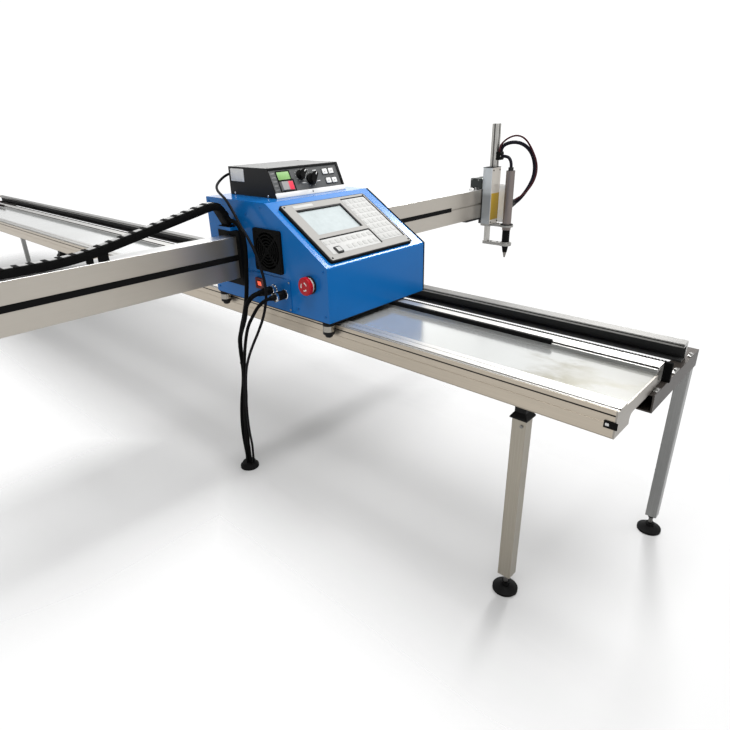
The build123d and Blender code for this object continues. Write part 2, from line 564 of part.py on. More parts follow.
# Two pointer knobs with their spindles.
with BuildPart() as thc_knob_1:
    with BuildSketch(FACE.offset(-0.7)):
        with Locations(KNOBS[0]):
            Circle(13)
    extrude(amount=5)
    with BuildSketch(FACE.offset(4.3)):
        with Locations(Location(KNOBS[0], 40)):
            SlotOverall(30, 12)
    extrude(amount=12)
    with BuildSketch(FACE.offset(-10)):
        with Locations(KNOBS[0]):
            Circle(3)
    extrude(amount=10)
thc_knob_1.part.label = "thc_knob_1"
export_step(thc_knob_1.part, "parts/thc_knob_1.step")

with BuildPart() as thc_knob_2:
    with BuildSketch(FACE.offset(-0.7)):
        with Locations(KNOBS[1]):
            Circle(15)
    extrude(amount=5)
    with BuildSketch(FACE.offset(4.3)):
        with Locations(Location(KNOBS[1], 50)):
            SlotOverall(36, 13)
    extrude(amount=15)
    with BuildSketch(FACE.offset(-10)):
        with Locations(KNOBS[1]):
            Circle(3)
    extrude(amount=10)
thc_knob_2.part.label = "thc_knob_2"
export_step(thc_knob_2.part, "parts/thc_knob_2.step")

# Energy chain, as one bent band of its outer section.
with BuildPart() as drag_chain:
    with BuildLine() as chain_path:
        FilletPolyline(*[(CHAIN_X, y, z) for y, z in CHAIN], radius=CHAIN_R)
    with BuildSketch(Plane(origin=chain_path.line @ 0, x_dir=(1, 0, 0), z_dir=chain_path.line % 0)):
        Rectangle(CHAIN_W, CHAIN_H)
    sweep()
drag_chain.part.label = "drag_chain"
export_step(drag_chain.part, "parts/drag_chain.step")

# Portal plates inside both cabinet sides that guide the beam, and the collar
# around the beam on the outside of the near one.
with BuildPart() as beam_guide:
    with Locations((1227.2, CAB_Y0 - 5, 657)):
        Box(92.4, 10, 144)
    for gy in (-169.4, 175.4):
        with Locations((1231, gy, 644.9)):
            Box(118, 10, 190.2)
    for gy in (CAB_Y0 - 5, -169.4, 175.4):
        with Locations((1234.6, gy, 659)):
            Box(52, 12, 110.8, mode=Mode.SUBTRACT)
        with Locations((1204.8, gy, 647.5)):
            Box(8.8, 12, 18, mode=Mode.SUBTRACT)
beam_guide.part.label = "beam_guide"
export_step(beam_guide.part, "parts/beam_guide.step")

# Rail motor over its pinion and beam motor on the post.
with BuildPart() as drive_motors:
    with BuildSketch(Plane.XY.offset(BASE_Z1)):
        with Locations((XPIN_X, XPIN_Y)):
            RectangleRounded(57, 57, 4)
    extrude(amount=76)
    with BuildSketch(Plane.XY.offset(662)):
        with Locations((YPIN_X, 0)):
            RectangleRounded(42, 42, 4)
    extrude(amount=40)
    with Locations((XPIN_X, XPIN_Y, 565)):
        Cylinder(4.05, 34, mode=Mode.SUBTRACT)
    with Locations((YPIN_X, 0, 675)):
        Cylinder(2.55, 30, mode=Mode.SUBTRACT)
drive_motors.part.label = "drive_motors"
export_step(drive_motors.part, "parts/drive_motors.step")

# Power supply on the base and controller behind the console.
with BuildPart() as electronics:
    with Locations((1350, 30, 569.9)):
        Box(100, 200, 40.2)
    with BuildSketch(SLOPE.offset(-30)):
        with Locations((130, -5)):
            Rectangle(140, 240)
    extrude(amount=30)
electronics.part.label = "electronics"
export_step(electronics.part, "parts/electronics.step")

# Rail pinion and beam pinion with their shafts.
with BuildPart() as x_pinion:
    with Locations((XPIN_X, XPIN_Y, 517.5)):
        Cylinder(XPIN_R, 25)
        with PolarLocations(XPIN_R, 20):
            Box(4.2, 2.6, 26, mode=Mode.SUBTRACT)
        Cylinder(XPIN_R - 4.4, 25)
    with Locations((XPIN_X, XPIN_Y, 536)):
        Cylinder(7, 14)
    with Locations((XPIN_X, XPIN_Y, 555)):
        Cylinder(4, 50)
x_pinion.part.label = "x_pinion"
export_step(x_pinion.part, "parts/x_pinion.step")

with BuildPart() as y_pinion:
    with Locations((YPIN_X, 0, 647.5)):
        Cylinder(YPIN_R, 17)
        with PolarLocations(YPIN_R, 21):
            Box(4.2, 2.6, 18, mode=Mode.SUBTRACT)
        Cylinder(YPIN_R - 4.4, 17)
    with Locations((YPIN_X, 0, 658.8)):
        Cylinder(6, 5.6)
    with Locations((YPIN_X, 0, 671)):
        Cylinder(2.5, 34)
y_pinion.part.label = "y_pinion"
export_step(y_pinion.part, "parts/y_pinion.step")

# Guide rollers that run down the front of the skirt, on upright pins.
with BuildPart() as side_roller_1:
    with Locations((ROLLER_X[0], ROLLER_Y, 503.5)):
        Cylinder(10, 12, align=(Align.CENTER, Align.CENTER, Align.MIN))
    fillet(side_roller_1.edges().group_by(Axis.Z)[0], 6)
    with Locations((ROLLER_X[0], ROLLER_Y, 513)):
        Cylinder(ROLLER_R, 6.7, align=(Align.CENTER, Align.CENTER, Align.MIN))
    with Locations((ROLLER_X[0], ROLLER_Y, 515)):
        Cylinder(STUD_R, 40, align=(Align.CENTER, Align.CENTER, Align.MIN))
    with BuildSketch(Plane.XY.offset(BASE_Z1 + 0.3)):
        with Locations((ROLLER_X[0], ROLLER_Y)):
            RegularPolygon(8, 6)
    extrude(amount=5)
side_roller_1.part.label = "side_roller_1"
export_step(side_roller_1.part, "parts/side_roller_1.step")

with BuildPart() as side_roller_2:
    add(side_roller_1.part.moved(Location((ROLLER_X[1] - ROLLER_X[0], 0, 0))))
side_roller_2.part.label = "side_roller_2"
export_step(side_roller_2.part, "parts/side_roller_2.step")

# Rollers held in the C of the rear rail.
with BuildPart(Plane(origin=(TRACK_X[0], 0, TRACK_Z), x_dir=(1, 0, 0), z_dir=(0, 1, 0))) as track_roller_1:
    with Locations((0, 0, 219.3)):
        Cylinder(TRACK_R, 13.7, align=(Align.CENTER, Align.CENTER, Align.MIN))
    with Locations((0, 0, 204.3)):
        Cylinder(8, 15, align=(Align.CENTER, Align.CENTER, Align.MIN))
    with Locations((0, 0, 190)):
        Cylinder(STUD_R, 20, align=(Align.CENTER, Align.CENTER, Align.MIN))
    with Locations((0, 0, 190)):
        Cylinder(8, 5.7, align=(Align.CENTER, Align.CENTER, Align.MIN))
track_roller_1.part.label = "track_roller_1"
export_step(track_roller_1.part, "parts/track_roller_1.step")

with BuildPart() as track_roller_2:
    add(track_roller_1.part.moved(Location((TRACK_X[1] - TRACK_X[0], 0, 0))))
track_roller_2.part.label = "track_roller_2"
export_step(track_roller_2.part, "parts/track_roller_2.step")

# ==================================================================== beam
# Hollow beam with a slot along its near face.
with BuildPart() as beam_profile:
    with BuildSketch(Plane.XZ.offset(-BEAM_HALF)):
        with Locations(((BEAM_X0 + BEAM_X1) / 2, (BEAM_Z0 + BEAM_Z1) / 2)):
            RectangleRounded(BEAM_X1 - BEAM_X0, BEAM_Z1 - BEAM_Z0, 1.5)
        with Locations((1257.5, 659.5)):
            Rectangle(5, 6, mode=Mode.SUBTRACT)
        with Locations((1234, 628.2), (1234, 690.3)):
            Rectangle(43, 41.4, mode=Mode.SUBTRACT)
        with Locations((1231, 659.3)):
            Rectangle(37, 13.5, mode=Mode.SUBTRACT)
    extrude(amount=2 * BEAM_HALF)
beam_profile.part.label = "beam_profile"
export_step(beam_profile.part, "parts/beam_profile.step")

with BuildPart() as beam_rack:
    with Locations((1205, -40, 647.5)):
        Box(8, 2000, 15)
beam_rack.part.label = "beam_rack"
export_step(beam_rack.part, "parts/beam_rack.step")

# Slot strip and end caps of the beam.
with BuildPart() as beam_trim:
    with Locations((1259.4, (-BEAM_HALF + 790) / 2, 659.5)):
        Box(0.8, BEAM_HALF + 790, 15)
    for cy in (-BEAM_HALF - 2, BEAM_HALF + 2):
        with Locations((1234, cy, 659)):
            Box(50, 4, 110)
beam_trim.part.label = "beam_trim"
export_step(beam_trim.part, "parts/beam_trim.step")

# Lifter housing on the near face of the beam's end, open below, with the
# angle plate that ties it to the underside of the beam.
with BuildPart() as lifter_housing:
    with BuildSketch(Plane.XY.offset(LIFT_Z0)):
        with Locations(((LIFT_X0 + LIFT_X1) / 2, (LIFT_Y0 + LIFT_Y1) / 2)):
            RectangleRounded(LIFT_X1 - LIFT_X0, LIFT_Y1 - LIFT_Y0, 2)
    extrude(amount=LIFT_Z1 - LIFT_Z0)
    with Locations((1280.5, 1032.5, (LIFT_Z0 + LIFT_Z1 - 4) / 2)):
        Box(35, 59, LIFT_Z1 - 4 - LIFT_Z0, mode=Mode.SUBTRACT)
    with Locations((STEM_X, STEM_Y, LIFT_Z1)):
        Box(STEM_W + 0.8, STEM_W + 0.8, 20, mode=Mode.SUBTRACT)
    with Locations(Location((LIFT_X0 + 2, LPIN_Y, LPIN_Z), (0, 90, 0))):
        Cylinder(5, 10, mode=Mode.SUBTRACT)
    with Locations((1236, 947, 601)):
        Box(50, 106, 6)
    with Locations((1256, 999.5, 592.5)):
        Box(10, 3, 23)
    # plate behind the torch
    with Locations((1314.5, LIFT_Y1 - 3, 657)):
        Box(29, 3, 148)
lifter_housing.part.label = "lifter_housing"
export_step(lifter_housing.part, "parts/lifter_housing.step")

# Bottom plate of the housing, reaching out to a guide ring for the torch.
with BuildPart() as torch_guide:
    with BuildSketch(Plane.XY.offset(LIFT_Z0 - 8)):
        with Locations((1280, 1032.5)):
            RectangleRounded(42, 63, 3)
        with Locations((1330, 1035)):
            Rectangle(70, 36)
        with Locations((TORCH_X, TORCH_Y)):
            Circle(26)
        with Locations((STEM_X, ROD_Y)):
            Rectangle(17, 21, mode=Mode.SUBTRACT)
        with Locations((TORCH_X, TORCH_Y)):
            Circle(TORCH_R + 0.3, mode=Mode.SUBTRACT)
    extrude(amount=8)
torch_guide.part.label = "torch_guide"
export_step(torch_guide.part, "parts/torch_guide.step")

# Lifter motor with its angle gearbox, lying on the beam.
with BuildPart() as lifter_motor:
    with Locations((1236, 1020, 735.5)):
        Box(42, 78, 43)
    fillet(lifter_motor.edges().filter_by(Axis.Y), 3)
    with Locations(Location((1245, LPIN_Y, LPIN_Z), (0, 90, 0))):
        Cylinder(4.05, 30, mode=Mode.SUBTRACT)
lifter_motor.part.label = "lifter_motor"
export_step(lifter_motor.part, "parts/lifter_motor.step")

with BuildPart(Plane(origin=(STEM_X, LPIN_Y, LPIN_Z), x_dir=(0, 1, 0), z_dir=(1, 0, 0))) as lifter_pinion:
    Cylinder(LPIN_R, 16)
    with PolarLocations(LPIN_R, 16):
        Box(3.6, 2.4, 17, mode=Mode.SUBTRACT)
    Cylinder(LPIN_R - 3.4, 16)
    with Locations((0, 0, -26)):
        Cylinder(4, 40)
lifter_pinion.part.label = "lifter_pinion"
export_step(lifter_pinion.part, "parts/lifter_pinion.step")

# Slotted stem that the pinion drives, with the foot and rod below it.
with BuildPart() as lifter_stem:
    with BuildSketch(Plane.XY.offset(612)):
        with Locations((STEM_X, STEM_Y)):
            RectangleRounded(STEM_W, STEM_W, 1.5)
        with Locations((STEM_X + 11, STEM_Y), (STEM_X - 11, STEM_Y)):
            Rectangle(5, 6, mode=Mode.SUBTRACT)
        with Locations((STEM_X, STEM_Y + 11)):
            Rectangle(6, 5, mode=Mode.SUBTRACT)
        with Locations((STEM_X, STEM_Y - 12.5)):
            Rectangle(6, 2, mode=Mode.SUBTRACT)
    extrude(amount=956 - 612)
    with Locations((STEM_X, 1036, 615)):
        Box(20, 46, 14)
    with Locations((STEM_X, ROD_Y, 562)):
        Box(16, 20, 106)
lifter_stem.part.label = "lifter_stem"
export_step(lifter_stem.part, "parts/lifter_stem.step")

# Block on the stem that gathers the hoses.
with BuildPart() as hose_clamp:
    with Locations((1302, 1046, 839)):
        Box(18, 30, 30)
    fillet(hose_clamp.edges().filter_by(Axis.Z), 3)
hose_clamp.part.label = "hose_clamp"
export_step(hose_clamp.part, "parts/hose_clamp.step")

# Ring bracket on the rod that carries the torch.
with BuildPart() as torch_holder:
    with BuildSketch(Plane.XY.offset(497)):
        with Locations((1312, 1027)):
            Rectangle(92, 24)
        with Locations((TORCH_X, TORCH_Y)):
            Circle(24)
        with Locations((TORCH_X, TORCH_Y)):
            Circle(15.05, mode=Mode.SUBTRACT)
    extrude(amount=12)
torch_holder.part.label = "torch_holder"
export_step(torch_holder.part, "parts/torch_holder.step")

# Torch body with its two hose ports and the sleeve for its lead.
with BuildPart() as torch_barrel:
    with Locations((TORCH_X, TORCH_Y, 560)):
        Cylinder(TORCH_R, 227, align=(Align.CENTER, Align.CENTER, Align.MIN))
    with Locations((TORCH_X, TORCH_Y, 787)):
        Cylinder(10, 12, align=(Align.CENTER, Align.CENTER, Align.MIN))
    with BuildSketch(Plane(origin=(1374, 1060, 662), z_dir=(59, 101, 77))):
        Circle(8)
    extrude(amount=-22)
    with BuildSketch(Plane(origin=(1377, 1054, 676), z_dir=(84, 87, 70))):
        Circle(4.6)
    extrude(amount=-22)
torch_barrel.part.label = "torch_barrel"
export_step(torch_barrel.part, "parts/torch_barrel.step")

# Insulating sleeve, shield cone and tip.
with BuildPart() as torch_nozzle:
    with Locations((TORCH_X, TORCH_Y, 494)):
        Cylinder(15, 66, align=(Align.CENTER, Align.CENTER, Align.MIN))
    with Locations((TORCH_X, TORCH_Y, 470)):
        Cone(9, 13, 24, align=(Align.CENTER, Align.CENTER, Align.MIN))
    with Locations((TORCH_X, TORCH_Y, 448)):
        Cone(3, 8, 22, align=(Align.CENTER, Align.CENTER, Align.MIN))
torch_nozzle.part.label = "torch_nozzle"
export_step(torch_nozzle.part, "parts/torch_nozzle.step")

# =========================================================== hoses, cables
with BuildPart() as hose_black:
    with BuildLine() as hose_black_path:
        FilletPolyline(*HOSE_BLACK, radius=bend_radii(HOSE_BLACK))
    with BuildSketch(Plane(origin=hose_black_path.line @ 0, z_dir=hose_black_path.line % 0)):
        Circle(HOSE_D / 2)
    sweep()
report_tube("hose_black", hose_black.part, hose_black_path.line, HOSE_D)
hose_black.part.label = "hose_black"
export_step(hose_black.part, "parts/hose_black.step")

with BuildPart() as hose_red:
    with BuildLine() as hose_red_path:
        FilletPolyline(*HOSE_RED, radius=bend_radii(HOSE_RED))
    with BuildSketch(Plane(origin=hose_red_path.line @ 0, z_dir=hose_red_path.line % 0)):
        Circle(RED_D / 2)
    sweep()
report_tube("hose_red", hose_red.part, hose_red_path.line, RED_D)
hose_red.part.label = "hose_red"
export_step(hose_red.part, "parts/hose_red.step")

with BuildPart() as torch_lead:
    with BuildLine() as torch_lead_path:
        FilletPolyline(*TORCH_LEAD, radius=bend_radii(TORCH_LEAD))
    with BuildSketch(Plane(origin=torch_lead_path.line @ 0, z_dir=torch_lead_path.line % 0)):
        Circle(LEAD_D / 2)
    sweep()
report_tube("torch_lead", torch_lead.part, torch_lead_path.line, LEAD_D)
torch_lead.part.label = "torch_lead"
export_step(torch_lead.part, "parts/torch_lead.step")

with BuildPart() as cable_a:
    with BuildLine() as cable_a_path:
        FilletPolyline(*CABLE_A, radius=bend_radii(CABLE_A))
    with BuildSketch(Plane(origin=cable_a_path.line @ 0, z_dir=cable_a_path.line % 0)):
        Circle(CABLE_A_D / 2)
    sweep()
report_tube("cable_a", cable_a.part, cable_a_path.line, CABLE_A_D)
cable_a.part.label = "cable_a"
export_step(cable_a.part, "parts/cable_a.step")

with BuildPart() as cable_b:
    with BuildLine() as cable_b_path:
        FilletPolyline(*CABLE_B, radius=bend_radii(CABLE_B))
    with BuildSketch(Plane(origin=cable_b_path.line @ 0, z_dir=cable_b_path.line % 0)):
        Circle(CABLE_B_D / 2)
    sweep()
report_tube("cable_b", cable_b.part, cable_b_path.line, CABLE_B_D)
cable_b.part.label = "cable_b"
export_step(cable_b.part, "parts/cable_b.step")

with BuildPart() as cable_c:
    with BuildLine() as cable_c_path:
        FilletPolyline(*CABLE_C, radius=bend_radii(CABLE_C))
    with BuildSketch(Plane(origin=cable_c_path.line @ 0, z_dir=cable_c_path.line % 0)):
        Circle(CABLE_C_D / 2)
    sweep()
report_tube("cable_c", cable_c.part, cable_c_path.line, CABLE_C_D)
cable_c.part.label = "cable_c"
export_step(cable_c.part, "parts/cable_c.step")

with BuildPart() as thc_wire:
    with BuildLine() as thc_wire_path:
        FilletPolyline(*THC_WIRE, radius=bend_radii(THC_WIRE))
    with BuildSketch(Plane(origin=thc_wire_path.line @ 0, z_dir=thc_wire_path.line % 0)):
        Circle(WIRE_D / 2)
    sweep()
report_tube("thc_wire", thc_wire.part, thc_wire_path.line, WIRE_D)
thc_wire.part.label = "thc_wire"
export_step(thc_wire.part, "parts/thc_wire.step")

# Round weighted base on the floor that the four cables run into.
with BuildPart() as cable_pad:
    with Locations((1222, -207, 0.3)):
        Cylinder(FOOT_R, 6.7, align=(Align.CENTER, Align.CENTER, Align.MIN))
    with Locations((1222, -207, 7)):
        Cone(FOOT_R - 1, 21, 8, align=(Align.CENTER, Align.CENTER, Align.MIN))
    with Locations((1222, -207, 15)):
        Cylinder(20, 3, align=(Align.CENTER, Align.CENTER, Align.MIN))
cable_pad.part.label = "cable_pad"
export_step(cable_pad.part, "parts/cable_pad.step")
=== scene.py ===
import math

import bmesh
import bpy
from mathutils import Matrix, Quaternion, Vector


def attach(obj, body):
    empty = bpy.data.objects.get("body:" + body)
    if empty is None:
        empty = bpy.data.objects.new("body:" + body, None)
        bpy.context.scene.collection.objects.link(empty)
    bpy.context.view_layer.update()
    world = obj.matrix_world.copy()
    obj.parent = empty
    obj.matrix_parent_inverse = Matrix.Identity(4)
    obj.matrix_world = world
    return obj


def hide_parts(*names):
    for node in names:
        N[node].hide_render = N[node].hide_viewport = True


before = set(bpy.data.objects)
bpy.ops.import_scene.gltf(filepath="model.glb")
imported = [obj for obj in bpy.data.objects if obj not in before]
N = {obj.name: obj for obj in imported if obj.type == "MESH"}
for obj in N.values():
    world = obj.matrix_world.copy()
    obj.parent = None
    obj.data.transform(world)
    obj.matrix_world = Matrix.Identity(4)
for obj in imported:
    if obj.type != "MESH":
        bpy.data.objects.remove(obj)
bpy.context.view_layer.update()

SCENE = bpy.context.scene

# ------------------------------------------------------------------ camera
CAM_POS = Vector((2.5023, -1.0233, 0.9900))
YAW, PITCH, ROLL = math.radians(43.43), math.radians(23.97), math.radians(-1.49)
fwd = Vector((-math.sin(YAW) * math.cos(PITCH), math.cos(YAW) * math.cos(PITCH), -math.sin(PITCH)))
right = Vector((math.cos(YAW), math.sin(YAW), 0))
up = right.cross(fwd)
r2 = right * math.cos(ROLL) + up * math.sin(ROLL)
u2 = up * math.cos(ROLL) - right * math.sin(ROLL)
cam_data = bpy.data.cameras.new("camera")
cam_data.sensor_width = 36.0
cam_data.lens = 27.48
cam_data.clip_start, cam_data.clip_end = 0.01, 100
camera = bpy.data.objects.new("camera", cam_data)
SCENE.collection.objects.link(camera)
camera.matrix_world = Matrix((
    (r2.x, u2.x, -fwd.x, CAM_POS.x),
    (r2.y, u2.y, -fwd.y, CAM_POS.y),
    (r2.z, u2.z, -fwd.z, CAM_POS.z),
    (0, 0, 0, 1)))
SCENE.camera = camera


# --------------------------------------------------------------- materials
class Tree:
    """A node material under construction."""

    def __init__(self, name):
        self.mat = bpy.data.materials.new(name)
        self.mat.use_nodes = True
        self.nt = self.mat.node_tree
        self.nt.nodes.clear()
        self.out = self.nt.nodes.new("ShaderNodeOutputMaterial")
        self.bsdf = self.nt.nodes.new("ShaderNodeBsdfPrincipled")
        self.nt.links.new(self.bsdf.outputs[0], self.out.inputs[0])
        self.coord = self.nt.nodes.new("ShaderNodeTexCoord")

    def link(self, a, b):
        self.nt.links.new(a, b)

    def put(self, socket, value):
        if hasattr(value, "is_output"):
            self.link(value, socket)
        else:
            socket.default_value = value

    def mapped(self, scale):
        m = self.nt.nodes.new("ShaderNodeMapping")
        m.inputs["Scale"].default_value = scale
        self.link(self.coord.outputs["Object"], m.inputs["Vector"])
        return m.outputs[0]

    def noise(self, scale, stretch=(1, 1, 1), detail=4.0, rough=0.55):
        n = self.nt.nodes.new("ShaderNodeTexNoise")
        n.inputs["Scale"].default_value = scale
        n.inputs["Detail"].default_value = detail
        n.inputs["Roughness"].default_value = rough
        self.link(self.mapped(stretch), n.inputs["Vector"])
        return n.outputs["Fac"]

    def span(self, value, a, b, c, d):
        n = self.nt.nodes.new("ShaderNodeMapRange")
        self.put(n.inputs[0], value)
        n.inputs[1].default_value, n.inputs[2].default_value = a, b
        n.inputs[3].default_value, n.inputs[4].default_value = c, d
        return n.outputs[0]

    def math(self, op, a, b=0.0):
        n = self.nt.nodes.new("ShaderNodeMath")
        n.operation = op
        self.put(n.inputs[0], a)
        self.put(n.inputs[1], b)
        return n.outputs[0]

    def mix(self, fac, a, b):
        n = self.nt.nodes.new("ShaderNodeMix")
        n.data_type = "RGBA"
        self.put(n.inputs[0], fac)
        self.put(n.inputs[6], a if hasattr(a, "is_output") else (*a[:3], 1))
        self.put(n.inputs[7], b if hasattr(b, "is_output") else (*b[:3], 1))
        return n.outputs[2]

    def mixv(self, fac, a, b):
        n = self.nt.nodes.new("ShaderNodeMix")
        n.data_type = "FLOAT"
        self.put(n.inputs[0], fac)
        self.put(n.inputs[2], a)
        self.put(n.inputs[3], b)
        return n.outputs[0]

    def axis(self, which, normal=False):
        s = self.nt.nodes.new("ShaderNodeSeparateXYZ")
        self.link(self.coord.outputs["Normal" if normal else "Object"], s.inputs[0])
        return s.outputs["XYZ".index(which)]

    def within(self, **limits):
        """1 inside the stated limits in millimetres, such as z=(530, None)."""
        got = None
        for which, (lo, hi) in limits.items():
            a = self.axis(which.upper())
            for op, edge in (("GREATER_THAN", lo), ("LESS_THAN", hi)):
                if edge is not None:
                    t = self.math(op, a, edge / 1000)
                    got = t if got is None else self.math("MULTIPLY", got, t)
        return got

    def facing(self, which, sign, limit=0.7):
        return self.math("GREATER_THAN", self.math("MULTIPLY", self.axis(which, True), float(sign)), limit)

    def bump(self, height, strength, distance=0.0006):
        b = self.nt.nodes.new("ShaderNodeBump")
        b.inputs["Strength"].default_value = strength
        b.inputs["Distance"].default_value = distance
        self.link(height, b.inputs["Height"])
        self.link(b.outputs[0], self.bsdf.inputs["Normal"])

    def done(self, colour, metallic, rough, **more):
        self.put(self.bsdf.inputs["Base Color"], colour if hasattr(colour, "is_output") else (*colour[:3], 1))
        self.put(self.bsdf.inputs["Metallic"], metallic)
        self.put(self.bsdf.inputs["Roughness"], rough)
        for key, value in more.items():
            self.put(self.bsdf.inputs[key], value)
        return self.mat


def shade(c, k):
    return tuple(min(1.0, x * k) for x in c[:3])


def brushed(name, col, along="X", metallic=0.9, rough=(0.3, 0.45), vary=0.10, smudge=0.0, zones=None):
    """Extruded or brushed metal: fine streaks along one axis and faint handling marks."""
    t = Tree(name)
    stretch = tuple(1.0 if a == along else 90.0 for a in "XYZ")
    streak = t.noise(7.0, stretch, 5.0, 0.6)
    cloud = t.noise(5.0, (1, 1, 1), 4.0, 0.6)
    c = t.mix(t.span(streak, 0.3, 0.7, 0, 1), shade(col, 1 - vary), shade(col, 1 + vary * 0.6))
    c = t.mix(t.span(cloud, 0.45, 0.75, 0, 0.35), c, shade(col, 0.88))
    r = t.span(streak, 0.25, 0.75, rough[0], rough[1])
    m = metallic
    if smudge:
        marks = t.math("MULTIPLY", t.span(t.noise(9.0, (1, 1.6, 1), 6.0, 0.7), 0.54, 0.70, 0, 1),
                       t.span(t.noise(2.3, (1, 1, 1), 2.0), 0.42, 0.62, 0, smudge))
        c = t.mix(marks, c, shade(col, 0.66))
        r = t.mixv(marks, r, 0.62)
    if zones:
        c, m, r = zones(t, c, m, r)
    t.bump(streak, 0.08, 0.0003)
    return t.done(c, m, r)


def painted(name, col, rough=0.3, vary=0.05, peel=0.05, coat=0.0, metallic=0.0, zones=None, spec=0.5):
    """Sprayed paint: faint tone drift, orange peel, dust specks."""
    t = Tree(name)
    drift = t.noise(3.0, (1, 1, 1), 3.0)
    peel_n = t.noise(420.0, (1, 1, 1), 2.0)
    speck = t.span(t.noise(160.0, (1, 1, 1), 1.0), 0.70, 0.76, 0, 0.35)
    c = t.mix(t.span(drift, 0.3, 0.7, 0, 1), shade(col, 1 - vary), shade(col, 1 + vary))
    c = t.mix(speck, c, shade(col, 0.78))
    r = t.span(drift, 0.3, 0.7, rough * 0.88, rough * 1.15)
    m = metallic
    if zones:
        c, m, r = zones(t, c, m, r)
    t.bump(peel_n, peel, 0.0004)
    more = {"Specular IOR Level": spec}
    if coat:
        more["Coat Weight"] = coat
        more["Coat Roughness"] = 0.08
    return t.done(c, m, r, **more)


def plastic(name, col, rough=0.5, grain=0.12, scale=900.0, vary=0.08, zones=None, metallic=0.0, spec=0.5, dusty=0.16):
    """Moulded plastic or rubber with a fine spark-eroded grain and dusty patches."""
    t = Tree(name)
    g = t.noise(scale, (1, 1, 1), 3.0)
    dust = t.noise(22.0, (1, 1, 1), 5.0, 0.65)
    c = t.mix(t.span(g, 0.3, 0.7, 0, 1), shade(col, 1 - vary), shade(col, 1 + vary))
    c = t.mix(t.span(dust, 0.52, 0.8, 0, dusty), c, tuple(x * 0.7 + 0.08 for x in col[:3]))
    r = t.span(dust, 0.3, 0.7, rough * 0.85, min(1, rough * 1.15))
    m = metallic
    if zones:
        c, m, r = zones(t, c, m, r)
    t.bump(g, grain, 0.0003)
    return t.done(c, m, r, **{"Specular IOR Level": spec})


def glowing(name, col, power, rough=0.3, window=None):
    t = Tree(name)
    n = t.noise(260.0, (1, 1, 1), 2.0)
    c = t.mix(t.span(n, 0.3, 0.7, 0, 1), shade(col, 0.92), shade(col, 1.05))
    t.bump(n, 0.03, 0.0002)
    glow = (*col, 1)
    if window:
        # only a window in the middle is lit, the rest is a dark moulding
        lit = t.within(**window)
        c = t.mix(lit, shade(col, 0.10), c)
        glow = t.mix(lit, (0.0, 0.0, 0.0), col)
    return t.done(c, 0.0, rough, **{"Emission Color": glow, "Emission Strength": power})


ALU = (0.66, 0.65, 0.625)
WARM = (0.46, 0.405, 0.33)
BLUE = (0.0040, 0.117, 0.370)
BLACK = (0.004, 0.004, 0.004)


def rail_zones(t, c, m, r):
    front = t.within(y=(None, -146.2))
    c = t.mix(front, c, t.mix(t.span(t.noise(6.0, (1, 60, 60), 4.0), 0.3, 0.7, 0, 1), shade(WARM, 0.92), shade(WARM, 1.06)))
    # painted shade: the track's side is coloured darker than its top
    c = t.mix(t.within(y=(55.6, 56.1), z=(528.4, 536.8)), c, (0.36, 0.365, 0.36))
    # painted shade: the rail's grooves are coloured near black and matt
    groove_shade = t.math("MAXIMUM", t.within(y=(-146.4, -143), z=(520.5, 524.5)),
                    t.math("MAXIMUM", t.within(y=(-146.03, -139.5), z=(530.5, 532.7)),
                           t.math("MAXIMUM", t.within(y=(-119.2, -117.3), z=(531, 532.4)), t.within(y=(60.8, 63.6), z=(533, 539.6)))))
    c = t.mix(groove_shade, c, (0.03, 0.028, 0.025))
    m = t.mixv(groove_shade, m, 0.0)
    # painted highlight: a thin band across the skirt's face is coloured lighter
    c = t.mix(t.within(y=(-146.9, -146.2), z=(505.8, 507.7)), c, shade(WARM, 1.12))
    # painted shade: the skirt's bottom edge is coloured darker
    c = t.mix(t.within(y=(None, -140), z=(None, 481.2)), c, shade(WARM, 0.62))
    # the flat plate is polished, with rubbed patches towards its end, and its tone grows darker towards its end
    plate = t.within(y=(-103.8, 55.8), z=(527, 529))
    wear = t.math("MULTIPLY", t.span(t.noise(11.0, (0.7, 1.4, 1), 5.0, 0.62), 0.50, 0.66, 0, 1),
                  t.math("MULTIPLY", t.span(t.axis("X"), 1.90, 2.06, 0, 1), t.span(t.noise(4.0, (1, 1, 1), 2.0), 0.40, 0.58, 0, 1)))
    tone = t.mix(t.span(t.noise(3.2, (1, 1, 1), 5.0, 0.65), 0.35, 0.72, 0, 1), (0.71, 0.725, 0.72), (0.62, 0.63, 0.615))
    tone = t.mix(t.span(t.axis("X"), 1.70, 1.95, 0, 0.9), tone, (0.53, 0.54, 0.53))
    tone = t.mix(t.span(t.axis("X"), 2.0, 2.25, 0, 0.8), tone, (0.40, 0.395, 0.365))
    c = t.mix(plate, c, t.mix(wear, tone, (0.29, 0.28, 0.23)))
    m = t.mixv(plate, m, 0.72)
    r = t.mixv(plate, r, t.mixv(wear, 0.17, 0.22))
    r = t.mixv(groove_shade, r, 0.8)
    return c, m, r


def crail_zones(t, c, m, r):
    # painted shade: the inside of the C is coloured near black and matt; the front wall below its lip is coloured near
    # black and matt too
    inner_shade = t.math("MAXIMUM", t.within(y=(217.2, 237), z=(502.5, 531.5)), t.within(y=(217.2, 221), z=(535.0, 537.6)))
    face = t.within(y=(None, 217.3), z=(None, 531.5))
    dark = t.math("MAXIMUM", inner_shade, face)
    # painted shade: the rail's upward faces are coloured darker than the rest
    c = t.mix(t.facing("Z", 1.0), c, shade((0.35, 0.345, 0.33), 0.72))
    return t.mix(dark, c, (0.016, 0.016, 0.016)), t.mixv(dark, m, 0.0), t.mixv(dark, r, 0.75)


